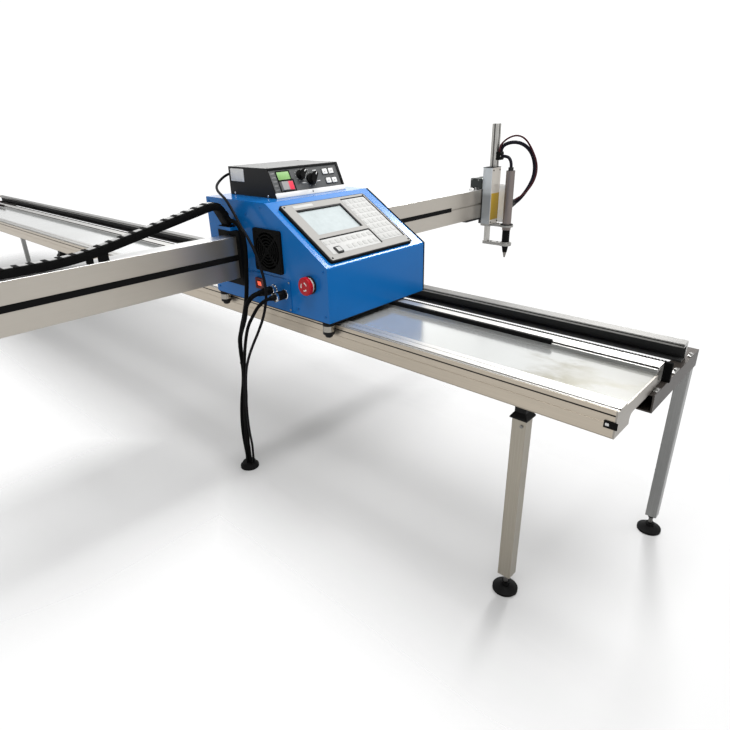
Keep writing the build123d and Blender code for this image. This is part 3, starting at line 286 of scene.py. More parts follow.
def foot_zones(t, c, m, r):
    stud = t.within(z=(22.2, 39.4))
    nut = t.within(z=(46.8, None))
    metal = t.math("MAXIMUM", stud, nut)
    return t.mix(metal, c, (0.16, 0.155, 0.15)), t.mixv(metal, m, 0.85), t.mixv(metal, r, 0.38)


def leg_zones(t, c, m, r):
    # painted shade: the rear legs are coloured darker and greyer than the front ones
    rear_shade = t.within(y=(100, None))
    return t.mix(rear_shade, c, t.mix(t.span(t.noise(7.0, (90, 90, 1), 5.0), 0.3, 0.7, 0, 1), (0.205, 0.207, 0.203), (0.25, 0.252, 0.248))), m, r


def base_zones(t, c, m, r):
    bush = t.within(y=(-178, -146), z=(None, 534.5))
    return t.mix(bush, c, (0.30, 0.285, 0.255)), t.mixv(bush, m, 0.95), t.mixv(bush, r, 0.2)


def case_zones(t, c, m, r):
    lid = t.within(z=(877.7, None))
    col = t.mix(t.span(t.noise(2.6, (1, 1, 1), 3.0), 0.3, 0.7, 0, 1), (0.135, 0.135, 0.132), (0.20, 0.20, 0.196))
    return t.mix(lid, c, col), m, t.mixv(lid, r, 0.38)


def nozzle_zones(t, c, m, r):
    tip = t.within(z=(None, 470))
    return t.mix(tip, c, (0.22, 0.205, 0.19)), t.mixv(tip, m, 0.85), t.mixv(tip, r, 0.42)


def barrel_zones(t, c, m, r):
    boot = t.within(z=(786.8, None))
    port = t.math("MULTIPLY", t.within(z=(640, 690)), t.math("GREATER_THAN", t.math("ADD", t.axis("X"), t.axis("Y")), 2.4203))
    dark = t.math("MAXIMUM", boot, port)
    return t.mix(dark, c, BLACK), t.mixv(dark, m, 0.0), t.mixv(dark, r, 0.6)


def roller_zones(t, c, m, r):
    top = t.within(z=(519.8, None))
    return t.mix(top, c, (0.5, 0.48, 0.45)), t.mixv(top, m, 0.95), t.mixv(top, r, 0.22)


def collar_zones(t, c, m, r):
    ring = t.within(y=(-180.7, None))
    return t.mix(ring, c, BLACK), m, r


def rocker_zones(t, c, m, r):
    left = t.within(y=(None, -55.25))
    return t.mix(left, c, (0.28, 0.27, 0.265)), m, r


def key_zones(t, c, m, r):
    # partly the key's dark body, partly painted shade: only the top of the key is pale, its sides are coloured black
    face = t.math("ADD", t.math("MULTIPLY", t.axis("X", True), 0.5282), t.math("MULTIPLY", t.axis("Z", True), 0.8492))
    side = t.math("LESS_THAN", face, 0.75)
    return t.mix(side, c, BLACK), m, r


def housing_zones(t, c, m, r):
    # painted reflection: the housing's face towards -Y is coloured light grey above about 700 mm height and dark grey
    # below
    left = t.facing("Y", -1.0)
    c = t.mix(left, c, t.mix(t.span(t.axis("Z"), 0.690, 0.705, 0, 1), (0.27, 0.285, 0.293), (0.47, 0.50, 0.515)))
    shield = t.within(x=(1301.6, None))
    c = t.mix(shield, c, (0.86, 0.86, 0.85))
    tie = t.within(x=(None, 1261.5), y=(None, 1000), z=(None, 604.2))
    c = t.mix(tie, c, BLACK)
    return c, t.mixv(tie, m, 0.0), r


def stem_zones(t, c, m, r):
    # painted shade: the stem's slots, in a square round its middle, are coloured dark
    slot = t.within(x=(1267.6, 1292.4), y=(1033.6, 1058.4), z=(624, None))
    return t.mix(slot, c, (0.10, 0.095, 0.09)), m, r


def beam_zones(t, c, m, r):
    # painted highlight: the beam's top is coloured much lighter than its sides
    top = t.within(z=(713.4, None))
    return t.mix(top, c, (0.80, 0.80, 0.79)), m, t.mixv(top, r, 0.30)


M = {
    "plank": brushed("plank_aluminium", ALU, "X", 0.80, (0.26, 0.40), 0.06, 0.15, rail_zones),
    "cap": brushed("cap_aluminium", (0.30, 0.28, 0.25), "Y", 0.8, (0.30, 0.44), 0.08, 0.2),
    "crail": brushed("rear_rail_aluminium", (0.35, 0.345, 0.33), "X", 0.82, (0.26, 0.40), 0.08, 0.1, crail_zones),
    "beam": brushed("beam_aluminium", (0.43, 0.40, 0.355), "Y", 0.85, (0.29, 0.33), 0.025, 0.04, beam_zones),
    "stem": brushed("stem_aluminium", (0.45, 0.44, 0.415), "Z", 0.85, (0.28, 0.40), 0.08, 0.1, stem_zones),
    "leg": brushed("leg_stainless", (0.318, 0.292, 0.243), "Z", 0.85, (0.26, 0.42), 0.14, 0.3, leg_zones),
    "blacksteel": painted("black_steel", (0.006, 0.006, 0.006), 0.5, 0.12, 0.10, spec=0.12),
    "crosssteel": painted("dark_steel", (0.045, 0.038, 0.033), 0.42, 0.25, 0.16, 0.0, 0.45, spec=0.3),
    "rackblack": painted("rack_black", (0.005, 0.005, 0.005), 0.85, 0.12, 0.10, spec=0.03),
    "base": painted("base_black", (0.006, 0.006, 0.006), 0.5, 0.1, 0.1, zones=base_zones, spec=0.12),
    "screwsteel": brushed("screw_steel", (0.20, 0.195, 0.185), "Z", 0.9, (0.35, 0.5), 0.15),
    "bolt": brushed("bolt_steel", (0.42, 0.415, 0.40), "Z", 0.95, (0.25, 0.42), 0.15),
    "chrome": brushed("bright_metal", (0.80, 0.80, 0.79), "Z", 1.0, (0.10, 0.20), 0.08),
    "foot": plastic("foot_rubber", (0.006, 0.006, 0.006), 0.62, 0.2, 500.0, zones=foot_zones, spec=0.08),
    "blue": painted("cabinet_blue", BLUE, 0.19, 0.05, 0.003, spec=0.16),
    "blue2": painted("plate_blue", (0.0045, 0.100, 0.320), 0.30, 0.06, 0.05, spec=0.14),
    "black": plastic("black_plastic", BLACK, 0.42, 0.14, spec=0.06, dusty=0.03),
    "blackrough": plastic("black_rough", (0.003, 0.003, 0.003), 0.7, 0.2, 600.0, spec=0.08, dusty=0.03),
    "chain": plastic("chain_black", (0.002, 0.002, 0.002), 0.6, 0.12, 600.0, spec=0.06, dusty=0.02),
    "chaintop": plastic("chain_bar_grey", (0.32, 0.32, 0.315), 0.30, 0.08, 600.0, spec=0.5),
    "grey": plastic("light_grey_plastic", (0.56, 0.55, 0.53), 0.45, 0.06, zones=collar_zones),
    "palegrey": plastic("pale_grey_plastic", (0.56, 0.55, 0.53), 0.45, 0.06),
    "red": plastic("red_plastic", (0.37, 0.004, 0.010), 0.34, 0.05, spec=0.18, dusty=0.04),
    "rocker": plastic("rocker_red", (0.72, 0.05, 0.085), 0.34, 0.05, zones=rocker_zones),
    "darkred": plastic("dark_red_plastic", (0.075, 0.004, 0.006), 0.4, 0.06, spec=0.3),
    "redlit": glowing("lit_red", (1.0, 0.115, 0.05), 0.62, window={"x": (1329.8, 1344.2), "z": (596.2, 607.8)}),
    "panel": brushed("panel_silver", (0.245, 0.238, 0.224), "Y", 0.0, (0.62, 0.72), 0.05, 0.08),
    "keypad": plastic("keypad_film", (0.41, 0.41, 0.40), 0.6, 0.05, 300.0, 0.04, spec=0.15),
    "keycap": plastic("keypad_key", (0.35, 0.35, 0.34), 0.55, 0.04, 300.0, 0.05, spec=0.15),
    "panelkey": plastic("panel_key_grey", (0.33, 0.33, 0.32), 0.5, 0.05, zones=key_zones, spec=0.15),
    "screen": plastic("screen_glass", (0.335, 0.372, 0.377), 0.5, 0.02, 60.0, 0.06, spec=0.12),
    "thc": painted("box_black", (0.012, 0.012, 0.012), 0.45, 0.12, 0.12, zones=case_zones, spec=0.14),
    "thcface": plastic("face_dark_grey", (0.075, 0.077, 0.077), 0.5, 0.06, spec=0.3),
    "thcmark": plastic("face_mark_grey", (0.14, 0.14, 0.14), 0.5, 0.06),
    "lcd": glowing("lcd_green", (0.20, 0.36, 0.13), 0.06),
    "brightstrip": brushed("bright_strip", (0.60, 0.60, 0.59), "Y", 0.1, (0.5, 0.6), 0.05),
    "white": plastic("white_plastic", (0.60, 0.60, 0.585), 0.4, 0.05),
    "label": plastic("blank_label", (0.58, 0.58, 0.57), 0.5, 0.05, 300.0, 0.04),
    "motor": painted("motor_black", (0.022, 0.026, 0.024), 0.4, 0.12, 0.12, spec=0.3),
    "motorbody": brushed("motor_grey_green", (0.30, 0.32, 0.30), "Y", 0.7, (0.3, 0.42), 0.10),
    "board": painted("board_green", (0.02, 0.09, 0.045), 0.45, 0.1, 0.08),
    "housing": painted("housing_grey", (0.53, 0.495, 0.445), 0.34, 0.05, 0.05, 0.0, 0.25, zones=housing_zones),
    "patch": painted("yellow_patch", (0.34, 0.215, 0.012), 0.4, 0.05, 0.03, spec=0.2),
    "torch": brushed("torch_bronze", (0.185, 0.158, 0.147), "Z", 0.6, (0.30, 0.42), 0.10, 0.1, barrel_zones),
    "nozzle": plastic("nozzle_black", (0.004, 0.004, 0.004), 0.5, 0.12, zones=nozzle_zones, spec=0.05, dusty=0.03),
    "ring": brushed("ring_steel", (0.30, 0.295, 0.28), "X", 0.85, (0.34, 0.5), 0.12),
    "hose": plastic("hose_rubber", (0.007, 0.006, 0.011), 0.45, 0.06, 700.0, spec=0.08, dusty=0.03),
    "hosered": plastic("hose_dark_red", (0.035, 0.004, 0.007), 0.4, 0.05, 700.0, spec=0.16, dusty=0.03),
    "cable": plastic("cable_rubber", (0.003, 0.003, 0.003), 0.65, 0.06, 700.0, spec=0.03, dusty=0.02),
    "wire": plastic("wire_black", (0.005, 0.005, 0.006), 0.5, 0.06, 700.0, spec=0.06, dusty=0.03),
    "roller": plastic("roller_black", (0.004, 0.004, 0.004), 0.38, 0.06, zones=roller_zones, spec=0.15, dusty=0.03),
}

NODE_MATERIAL = {
    "rail_plank": "plank", "rail_end_caps": "cap", "drive_rack": "blacksteel", "rear_rail": "crail", "rail_trim": "blackrough",
    "cross_members": "crosssteel", "legs": "leg", "leg_brackets": "blacksteel", "frame_bolts": "screwsteel",
    "foot_front_right": "foot", "foot_front_left": "foot", "foot_rear_right": "foot", "foot_rear_left": "foot",
    "carriage_base": "base", "cabinet_shell": "blue", "connector_plate": "blue2", "cable_sockets": "black",
    "fan_grille": "blackrough", "fan_rotor": "blackrough", "estop_collar": "grey", "estop_button": "red",
    "panel_plate": "panel", "panel_screen": "screen", "panel_key": "panelkey", "thc_case": "thc", "thc_face": "thcface",
    "thc_rocker": "rocker", "thc_knob_1": "black", "thc_knob_2": "black", "switch_rocker": "redlit", "drag_chain": "chain",
    "beam_guide": "blackrough", "drive_motors": "motor", "electronics": "board", "x_pinion": "bolt", "y_pinion": "bolt",
    "side_roller_1": "roller", "side_roller_2": "roller", "track_roller_1": "black", "track_roller_2": "black",
    "beam_profile": "beam", "beam_rack": "blacksteel", "beam_trim": "blackrough", "lifter_housing": "housing", "torch_guide": "ring",
    "lifter_motor": "motor", "lifter_pinion": "bolt", "lifter_stem": "stem", "hose_clamp": "black", "torch_holder": "ring",
    "torch_barrel": "torch", "torch_nozzle": "nozzle", "hose_black": "hose", "hose_red": "hosered", "torch_lead": "hose",
    "cable_a": "cable", "cable_b": "cable", "cable_c": "cable", "thc_wire": "wire", "cable_pad": "foot",
}
SOFT_EDGE = {"cabinet_shell": 0.8, "carriage_base": 0.6, "panel_plate": 0.7, "panel_key": 1.2, "thc_case": 0.7, "legs": 0.5,
             "leg_brackets": 0.8, "cross_members": 0.6, "rail_plank": 0.5, "rail_end_caps": 0.5, "rear_rail": 0.5,
             "beam_profile": 0.6, "beam_trim": 0.25, "lifter_housing": 0.7, "torch_guide": 0.8, "torch_holder": 0.9,
             "lifter_stem": 0.4, "hose_clamp": 1.0, "estop_collar": 0.8, "thc_knob_1": 0.9, "thc_knob_2": 0.9,
             "switch_rocker": 0.7, "thc_rocker": 0.7, "connector_plate": 0.4, "torch_barrel": 0.6, "torch_nozzle": 0.5,
             "drive_motors": 1.0, "electronics": 1.0, "cable_pad": 1.0, "side_roller_1": 0.6, "side_roller_2": 0.6,
             "rail_trim": 0.3, "frame_bolts": 0.4, "beam_guide": 0.5, "fan_grille": 0.5}
for node, key in NODE_MATERIAL.items():
    obj = N[node]
    obj.data.materials.clear()
    obj.data.materials.append(M[key])
    if node in SOFT_EDGE:
        b = obj.modifiers.new("soft_edge", "BEVEL")
        b.width = SOFT_EDGE[node] / 1000
        b.segments = 2
        b.limit_method = "ANGLE"
        b.angle_limit = math.radians(40)
        b.use_clamp_overlap = True

# ------------------------------------------------------------------- cords
CABLE_A = [(1256, -196, 757), (1272, -196, 757), (1294, -195, 746), (1310, -195.5, 716),
           (1312, -198, 672), (1308, -200, 622), (1300, -201, 566), (1282, -202.5, 512),
           (1256, -204, 456), (1244, -205, 404), (1250, -205, 352), (1240, -205, 292),
           (1221, -205.5, 231), (1209, -206, 164), (1206, -206, 106), (1209, -205.5, 66),
           (1212, -205, 38), (1212, -205, 18)]
CABLE_B = [(1393.5, -230, 596), (1393.5, -243, 596), (1388, -254, 586), (1372, -256, 567),
           (1357, -251, 537), (1334, -243, 508), (1304, -234, 476), (1281, -226, 446),
           (1270, -220.5, 411), (1268, -218, 370), (1265, -216.5, 318), (1261.5, -216.5, 266),
           (1249, -216, 206), (1240.5, -215, 140), (1230, -213.5, 86), (1223.5, -212.4, 44),
           (1223.5, -212.4, 18)]
CABLE_C = [(1434, -226, 590), (1434, -237, 590), (1427, -247, 583), (1413, -252.5, 568),
           (1394, -254, 544), (1365, -252, 511), (1334, -244, 460), (1308, -236, 404),
           (1291, -231, 348), (1280, -228.5, 290), (1270, -226.5, 226), (1258, -223.5, 160),
           (1246, -217.5, 98), (1236, -210.5, 46), (1236, -210.5, 18)]
THC_WIRE = [(1145.5, -96, 858), (1133, -96, 858), (1117, -103, 851), (1114, -119, 840),
            (1128, -141, 829), (1166, -164, 821), (1218, -187, 816), (1258, -203, 811),
            (1291, -210, 790), (1325, -213, 752.5), (1358, -215, 722), (1382, -215.5, 688),
            (1397, -216.5, 655), (1412, -220, 622), (1419, -226, 588), (1411, -232, 544),
            (1388, -237.5, 497), (1360, -240, 454), (1334, -240, 412), (1314, -239, 370),
            (1302, -238, 320), (1292, -237, 262), (1281, -232.5, 200), (1268, -223, 142),
            (1253, -209, 88), (1236, -200, 44), (1236, -200, 18)]
HOSE_BLACK = [(1303, 1052, 854), (1303, 1052, 867), (1313, 1059, 880), (1334, 1073, 888),
              (1359, 1091, 886), (1383, 1107, 871), (1402, 1120, 843), (1412.5, 1126, 806),
              (1417, 1121, 770), (1414, 1106, 737), (1404, 1090, 707), (1388.5, 1079.9, 681.6),
              (1379.9, 1070.1, 669.7), (1374, 1060, 662)]
HOSE_RED = [(1303, 1038, 854), (1303, 1038, 869), (1311, 1043, 887), (1328, 1055, 904),
            (1353, 1073, 914), (1377.5, 1090, 904), (1396, 1102.5, 878), (1413, 1110, 846),
            (1427, 1113, 813), (1432.5, 1110, 779), (1429.5, 1099, 745), (1416, 1082, 712),
            (1398.3, 1071.9, 693), (1385.4, 1062.7, 683), (1377, 1054, 676)]
TORCH_LEAD = [(1311, 1046, 838), (1325, 1046, 838), (1346, 1042, 834), (1361, 1035, 815),
              (1361, 1035, 799)]


def spline_curve(name, points, dia_mm):
    cu = bpy.data.curves.new(name, "CURVE")
    cu.dimensions = "3D"
    sp = cu.splines.new("NURBS")
    sp.points.add(len(points) - 1)
    for p, q in zip(sp.points, points):
        p.co = (q[0] / 1000, q[1] / 1000, q[2] / 1000, 1)
    sp.order_u = 3
    sp.use_endpoint_u = True
    sp.resolution_u = 8
    cu.bevel_depth = dia_mm / 2000
    cu.bevel_resolution = 4
    cu.use_fill_caps = True
    obj = bpy.data.objects.new(name, cu)
    SCENE.collection.objects.link(obj)
    return obj


def line_of(points):
    """The points of a route's own smooth line, and its length, in metres."""
    bare = spline_curve("bare", points, 0.0)
    me = bpy.data.meshes.new_from_object(bare.evaluated_get(bpy.context.evaluated_depsgraph_get()))
    line = [v.co.copy() for v in me.vertices]
    bpy.data.objects.remove(bare)
    return line, sum((b - a).length for a, b in zip(line, line[1:]))


def make_cord(name, points, dia, mat, body, node):
    obj = spline_curve(name, points, dia)
    obj.data.materials.append(M[mat])
    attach(obj, body)
    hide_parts(node)
    line_of(points)[1]
    return obj


make_cord("cord_cable_a", CABLE_A, 11.0, "cable", "carriage", "cable_a")
make_cord("cord_cable_b", CABLE_B, 12.0, "cable", "carriage", "cable_b")
make_cord("cord_cable_c", CABLE_C, 8.5, "cable", "carriage", "cable_c")
make_cord("cord_thc_wire", THC_WIRE, 7.0, "wire", "carriage", "thc_wire")
make_cord("cord_hose_black", HOSE_BLACK, 14.0, "hose", "lifter", "hose_black")
make_cord("cord_hose_red", HOSE_RED, 7.0, "hosered", "lifter", "hose_red")
make_cord("cord_torch_lead", TORCH_LEAD, 12.0, "hose", "lifter", "torch_lead")


# ------------------------------------------------------------ mesh building
def circle(r, z, n=32, cx=0.0, cy=0.0, turn=0.0):
    return [Vector((cx + r * math.cos(2 * math.pi * k / n + turn), cy + r * math.sin(2 * math.pi * k / n + turn), z)) for k in range(n)]


def hexagon(r, z, n=24, cx=0.0, cy=0.0):
    """n points round a hexagon of that corner radius."""
    out = []
    for k in range(n):
        a = 2 * math.pi * k / n
        part = (a % (math.pi / 3)) - math.pi / 6
        d = r * math.cos(math.pi / 6) / math.cos(part)
        out.append(Vector((cx + d * math.cos(a), cy + d * math.sin(a), z)))
    return out


def rrect(w, h, r, z, cx=0.0, cy=0.0, n=5):
    r = max(min(r, w / 2 - 1e-3, h / 2 - 1e-3), 1e-3)
    out = []
    for qx, qy, a0 in ((1, 1, 0), (-1, 1, 90), (-1, -1, 180), (1, -1, 270)):
        for k in range(n + 1):
            a = math.radians(a0 + 90 * k / n)
            out.append(Vector((cx + qx * (w / 2 - r) + r * math.cos(a), cy + qy * (h / 2 - r) + r * math.sin(a), z)))
    return out


class Piece:
    """One visible piece: closed lofts added one by one, in millimetres."""

    def __init__(self, name):
        self.name, self.verts, self.faces, self.index, self.mats = name, [], [], [], []

    def loft(self, rings, mat, place=Matrix.Identity(4), loop=False):
        if M[mat] not in self.mats:
            self.mats.append(M[mat])
        m, base, n = self.mats.index(M[mat]), len(self.verts), len(rings[0])
        for ring in rings:
            self.verts += [(place @ p) * 0.001 for p in ring]
        count = len(rings)
        new = []
        for i in range(count if loop else count - 1):
            a, b = base + i * n, base + ((i + 1) % count) * n
            for k in range(n):
                k2 = (k + 1) % n
                new.append((a + k, a + k2, b + k2, b + k))
        if not loop:
            new.append(tuple(base + k for k in reversed(range(n))))
            new.append(tuple(base + (count - 1) * n + k for k in range(n)))
        self.faces += new
        self.index += [m] * len(new)
        return self

    def pad(self, w, h, r, z0, z1, b, mat, place=Matrix.Identity(4), cx=0.0, cy=0.0):
        """A rounded block with a softened top edge."""
        return self.loft([rrect(w, h, r, z0, cx, cy), rrect(w, h, r, z1 - b, cx, cy),
                          rrect(w - 0.6 * b, h - 0.6 * b, r - 0.3 * b, z1 - 0.3 * b, cx, cy),
                          rrect(w - 2 * b, h - 2 * b, r - b, z1, cx, cy)], mat, place)

    def frame(self, w, h, r, w2, h2, r2, z0, z1, mat, place=Matrix.Identity(4), cx=0.0, cy=0.0, dx=0.0, dy=0.0):
        """A rounded ring of rectangular outline; dx, dy move its opening."""
        b = min(0.4, (z1 - z0) / 3)
        ox, oy = cx + dx, cy + dy
        return self.loft([rrect(w, h, r, z0, cx, cy), rrect(w, h, r, z1 - b, cx, cy), rrect(w - 2 * b, h - 2 * b, r - b, z1, cx, cy),
                          rrect(w2 + 2 * b, h2 + 2 * b, r2 + b, z1, ox, oy), rrect(w2, h2, r2, z1 - b, ox, oy),
                          rrect(w2, h2, r2, z0, ox, oy)], mat, place, loop=True)

    def turned(self, profile, mat, place=Matrix.Identity(4), n=36):
        """A solid of revolution about local Z from (radius, height) pairs."""
        return self.loft([circle(max(r, 0.02), z, n) for r, z in profile], mat, place)

    def knurled(self, r, z0, z1, mat, place, n=72, deep=0.28):
        """A short turned ring with fine grip teeth."""
        rings = []
        for z, k in ((z0, -0.7), (z0 + 0.9, 0.0), (z1 - 0.9, 0.0), (z1, -0.7)):
            rings.append([Vector(((r + k - (deep if j % 2 else 0)) * math.cos(2 * math.pi * j / n),
                                  (r + k - (deep if j % 2 else 0)) * math.sin(2 * math.pi * j / n), z)) for j in range(n)])
        return self.loft(rings, mat, place)

    def screw(self, r, h, mat, place=Matrix.Identity(4), cx=0.0, cy=0.0, z=0.0):
        """A socket head screw."""
        return self.loft([circle(r, z, 24, cx, cy), circle(r, z + h * 0.72, 24, cx, cy), circle(r * 0.86, z + h, 24, cx, cy),
                          hexagon(r * 0.52, z + h, 24, cx, cy), hexagon(r * 0.5, z + h * 0.35, 24, cx, cy)], mat, place)

    def bar(self, a, b, w, h, mat, normal=Vector((0, 0, 1)), soft=0.3):
        """A softened bar of width w and height h between two points."""
        a, b = Vector(a), Vector(b)
        t = (b - a).normalized()
        s = normal.cross(t).normalized()
        u = t.cross(s)
        place = Matrix(((s.x, u.x, t.x, a.x), (s.y, u.y, t.y, a.y), (s.z, u.z, t.z, a.z), (0, 0, 0, 1)))
        return self.loft([rrect(w, h, soft, 0, n=2), rrect(w, h, soft, (b - a).length, n=2)], mat, place)

    def done(self, body, slot=None, replaces=()):
        me = bpy.data.meshes.new(self.name)
        me.from_pydata([tuple(v) for v in self.verts], [], self.faces)
        for m in self.mats:
            me.materials.append(m)
        me.polygons.foreach_set("material_index", self.index)
        bm = bmesh.new()
        bm.from_mesh(me)
        bmesh.ops.recalc_face_normals(bm, faces=bm.faces)
        bm.to_mesh(me)
        bm.free()
        me.polygons.foreach_set("use_smooth", [True] * len(me.polygons))
        me.set_sharp_from_angle(angle=math.radians(32))
        me.update()
        obj = bpy.data.objects.new(self.name, me)
        SCENE.collection.objects.link(obj)
        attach(obj, body)
        if replaces:
            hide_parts(*replaces)
        return obj


def axes(x, y, z, o):
    x, y, z, o = Vector(x).normalized(), Vector(y).normalized(), Vector(z).normalized(), Vector(o)
    return Matrix(((x.x, y.x, z.x, o.x), (x.y, y.y, z.y, o.y), (x.z, y.z, z.z, o.z), (0, 0, 0, 1)))


SLOPE = axes((207.4, 0, -129), (0, 1, 0), (129, 0, 207.4), (1382, 0, 806))
FACE = axes((0, 1, 0), (-33, 0, 72), (72, 0, 33), (1344, 16.25, 806))
SIDE = axes((1, 0, 0), (0, 0, 1), (0, -1, 0), (0, -176.6, 0))
SIDE2 = axes((1, 0, 0), (0, 0, 1), (0, -1, 0), (0, -178.6, 0))
FRONT = axes((0, 1, 0), (0, 0, 1), (1, 0, 0), (1589.4, 0, 0))
TOP = Matrix.Identity(4)


# -------------------------------------------------------------- energy chain
def bent(points, radii, step=4.0):
    """Straight runs joined by arcs, as close points."""
    out = [Vector(points[0])]
    for a, b, c, r in zip(points, points[1:], points[2:], radii):
        a, b, c = Vector(a), Vector(b), Vector(c)
        u, v = (a - b).normalized(), (c - b).normalized()
        half = u.angle(v) / 2
        centre = b + (u + v).normalized() * (r / math.sin(half))
        p, q = b + u * (r / math.tan(half)) - centre, b + v * (r / math.tan(half)) - centre
        turn = p.rotation_difference(q)
        n = max(3, int(p.angle(q) * r / step))
        out += [centre + Quaternion().slerp(turn, k / n) @ p for k in range(n + 1)]
    out.append(Vector(points[-1]))
    return out


def along(line, distance):
    for a, b in zip(line, line[1:]):
        d = (b - a).length
        if distance <= d:
            return a + (b - a) * (distance / d), (b - a).normalized()
        distance -= d
    return line[-1], (line[-1] - line[-2]).normalized()


CHAIN_LINE = bent([(1240, -840, 725.8), (1240, -585, 725.8), (1240, -221, 800), (1240, -192.5, 747)], (700.0, 30.0))
CHAIN_LEN = sum((b - a).length for a, b in zip(CHAIN_LINE, CHAIN_LINE[1:]))


def across(s, x, n, w, h, r):
    """A section of the chain at distance s: centre x, n and size w, h."""
    p, t = along(CHAIN_LINE, s)
    u = Vector((1, 0, 0)).cross(t).normalized()
    return [p + Vector((1, 0, 0)) * q.x + u * q.y for q in rrect(w, h, r, 0, x, n, 2)]


chain = Piece("energy_chain")
LINKS = 24
LINK = (CHAIN_LEN - 1.0) / LINKS
for k in range(LINKS):
    s0 = 0.5 + k * LINK
    s1 = s0 + LINK
    run = [s0 + 0.3 + (LINK - 0.6) * j / 5 for j in range(6)]
    for side in (-1, 1):
        chain.loft([across(s, side * 13.9, -1.3, 3.2, 16.0, 1.1) for s in run], "chain")
        if k:
            p, t = along(CHAIN_LINE, s0)
            u = Vector((1, 0, 0)).cross(t).normalized()
            pin = axes(t, u, (1, 0, 0), p)
            chain.loft([circle(5.6, side * 15.2, 20, 0, -1.3), circle(5.6, side * 15.7, 20, 0, -1.3), circle(5.0, side * 15.95, 20, 0, -1.3)],
                       "chain", pin)
    bar = [s0 + 5.0 + (LINK - 10.0) * j / 4 for j in range(5)]
    chain.loft([across(s, -5.2, 7.2, 17.2, 2.0, 0.7) for s in bar], "chaintop")
    chain.loft([across(s, 8.6, 7.2, 10.4, 2.0, 0.7) for s in bar], "chain")
    chain.loft([across(s, 0, -8.4, 25.0, 1.6, 0.5) for s in run], "chain")
    for e in (0, 1):
        a, b = (s0 + 0.2, s0 + 4.7) if e == 0 else (s1 - 4.7, s1 - 0.2)
        chain.loft([across(a + (b - a) * j / 2, 0, 7.5, 31.0, 3.6, 1.0) for j in range(3)], "chain")
chain.pad(44, 27, 2, 741.2, 743.0, 0.5, "chain", TOP, 1240, -192.6)
chain.pad(9, 14, 1, 714.4, 725.0, 0.6, "chain", TOP, 1250.5, -558)
chain.pad(9, 22, 1, 714.4, 730.0, 0.6, "chain", TOP, 1250.5, -528)
chain.pad(26, 22, 2, 714.4, 717.4, 0.6, "chain", TOP, 1240, -826)
chain.done("carriage", "black_plastic", ["drag_chain"])


# ------------------------------------------------------------- rack teeth
def teeth(name, start, end, pitch, low, root, tip, w0, w1, place, body, replaces):
    """A bar along local X, cut into teeth on its upper side."""
    marks = [(start, root)]
    x = start
    while x + pitch < end - 0.2:
        marks += [(x + pitch * 0.16, root), (x + pitch * 0.36, tip), (x + pitch * 0.64, tip), (x + pitch * 0.84, root)]
        x += pitch
    marks.append((end, root))
    rack = Piece(name)
    rack.loft([[Vector((x, low, w0)), Vector((x, low, w1)), Vector((x, d, w1)), Vector((x, d, w0))] for x, d in marks], "rackblack", place)
    return rack.done(body, "black_steel", [replaces])


teeth("drive_rack_teeth", -2262, 2262, 6.2832, 96.0, 103.6, 106.0, 499.0, 540.0, TOP, "stand", "drive_rack")
teeth("beam_rack_teeth", -1040, 960, 6.2832, -1209.0, -1203.4, -1201.0, 640.0, 655.0, axes((0, 1, 0), (-1, 0, 0), (0, 0, 1), (0, 0, 0)),
      "beam", "beam_rack")

# -------------------------------------------------------------- cable plugs
sockets = Piece("cable_plugs")
for n, (sx, sz) in enumerate(((1393.5, 596.0), (1434.0, 590.0))):
    at = axes((1, 0, 0), (0, 0, 1), (0, -1, 0), (sx, -178.6, sz))
    sockets.loft([circle(8.9, -17.5), circle(8.9, 0.0)], "black", at)
    sockets.turned([(12.9, 0.05), (12.9, 2.0), (12.2, 2.9), (9.6, 3.0)], "chrome", at)
    for a in range(4):
        sockets.screw(1.5, 0.9, "bolt", at, 11.0 * math.cos(math.pi / 4 + a * math.pi / 2), 11.0 * math.sin(math.pi / 4 + a * math.pi / 2), 2.6)
    if n == 0:
        sockets.knurled(11.4, 3.0, 12.4, "chrome", at)
        sockets.turned([(10.2, 12.4), (10.9, 13.2), (10.9, 17.0), (10.3, 17.4), (10.3, 18.4), (10.9, 18.8), (10.9, 34.6), (9.8, 36.4)], "black", at)
        sockets.turned([(8.9, 36.3), (8.8, 39.0), (8.1, 39.4), (8.1, 40.8), (8.4, 41.2), (8.2, 43.6), (7.5, 44.0), (7.5, 45.4), (7.8, 45.8),
                        (7.5, 48.6), (6.9, 49.0), (6.9, 51.3)], "black", at)
    else:
        sockets.turned([(10.9, 3.0), (11.4, 3.8), (11.4, 9.0), (10.8, 9.4), (10.8, 10.4), (11.4, 10.8), (11.4, 26.4), (10.8, 27.4)], "black", at)
        sockets.knurled(11.9, 27.4, 34.4, "chrome", at)
        sockets.turned([(7.9, 34.3), (7.8, 37.0), (7.1, 37.4), (7.1, 38.6), (7.3, 39.0), (7.0, 41.4), (6.4, 41.8), (6.4, 43.0), (6.6, 43.4),
                        (6.2, 45.6), (5.9, 47.3)], "black", at)
sockets.done("carriage", "black_plastic", ["cable_sockets"])

# ------------------------------------------------------------ console parts
console = Piece("console_trim")
# a black gasket round the panel, partly real and partly painted shade along the panel's edges
console.frame(208.8, 298.0, 6.6, 202.1, 288.1, 4.2, 0.1, 6.6, "blackrough", SLOPE, 129, -6)
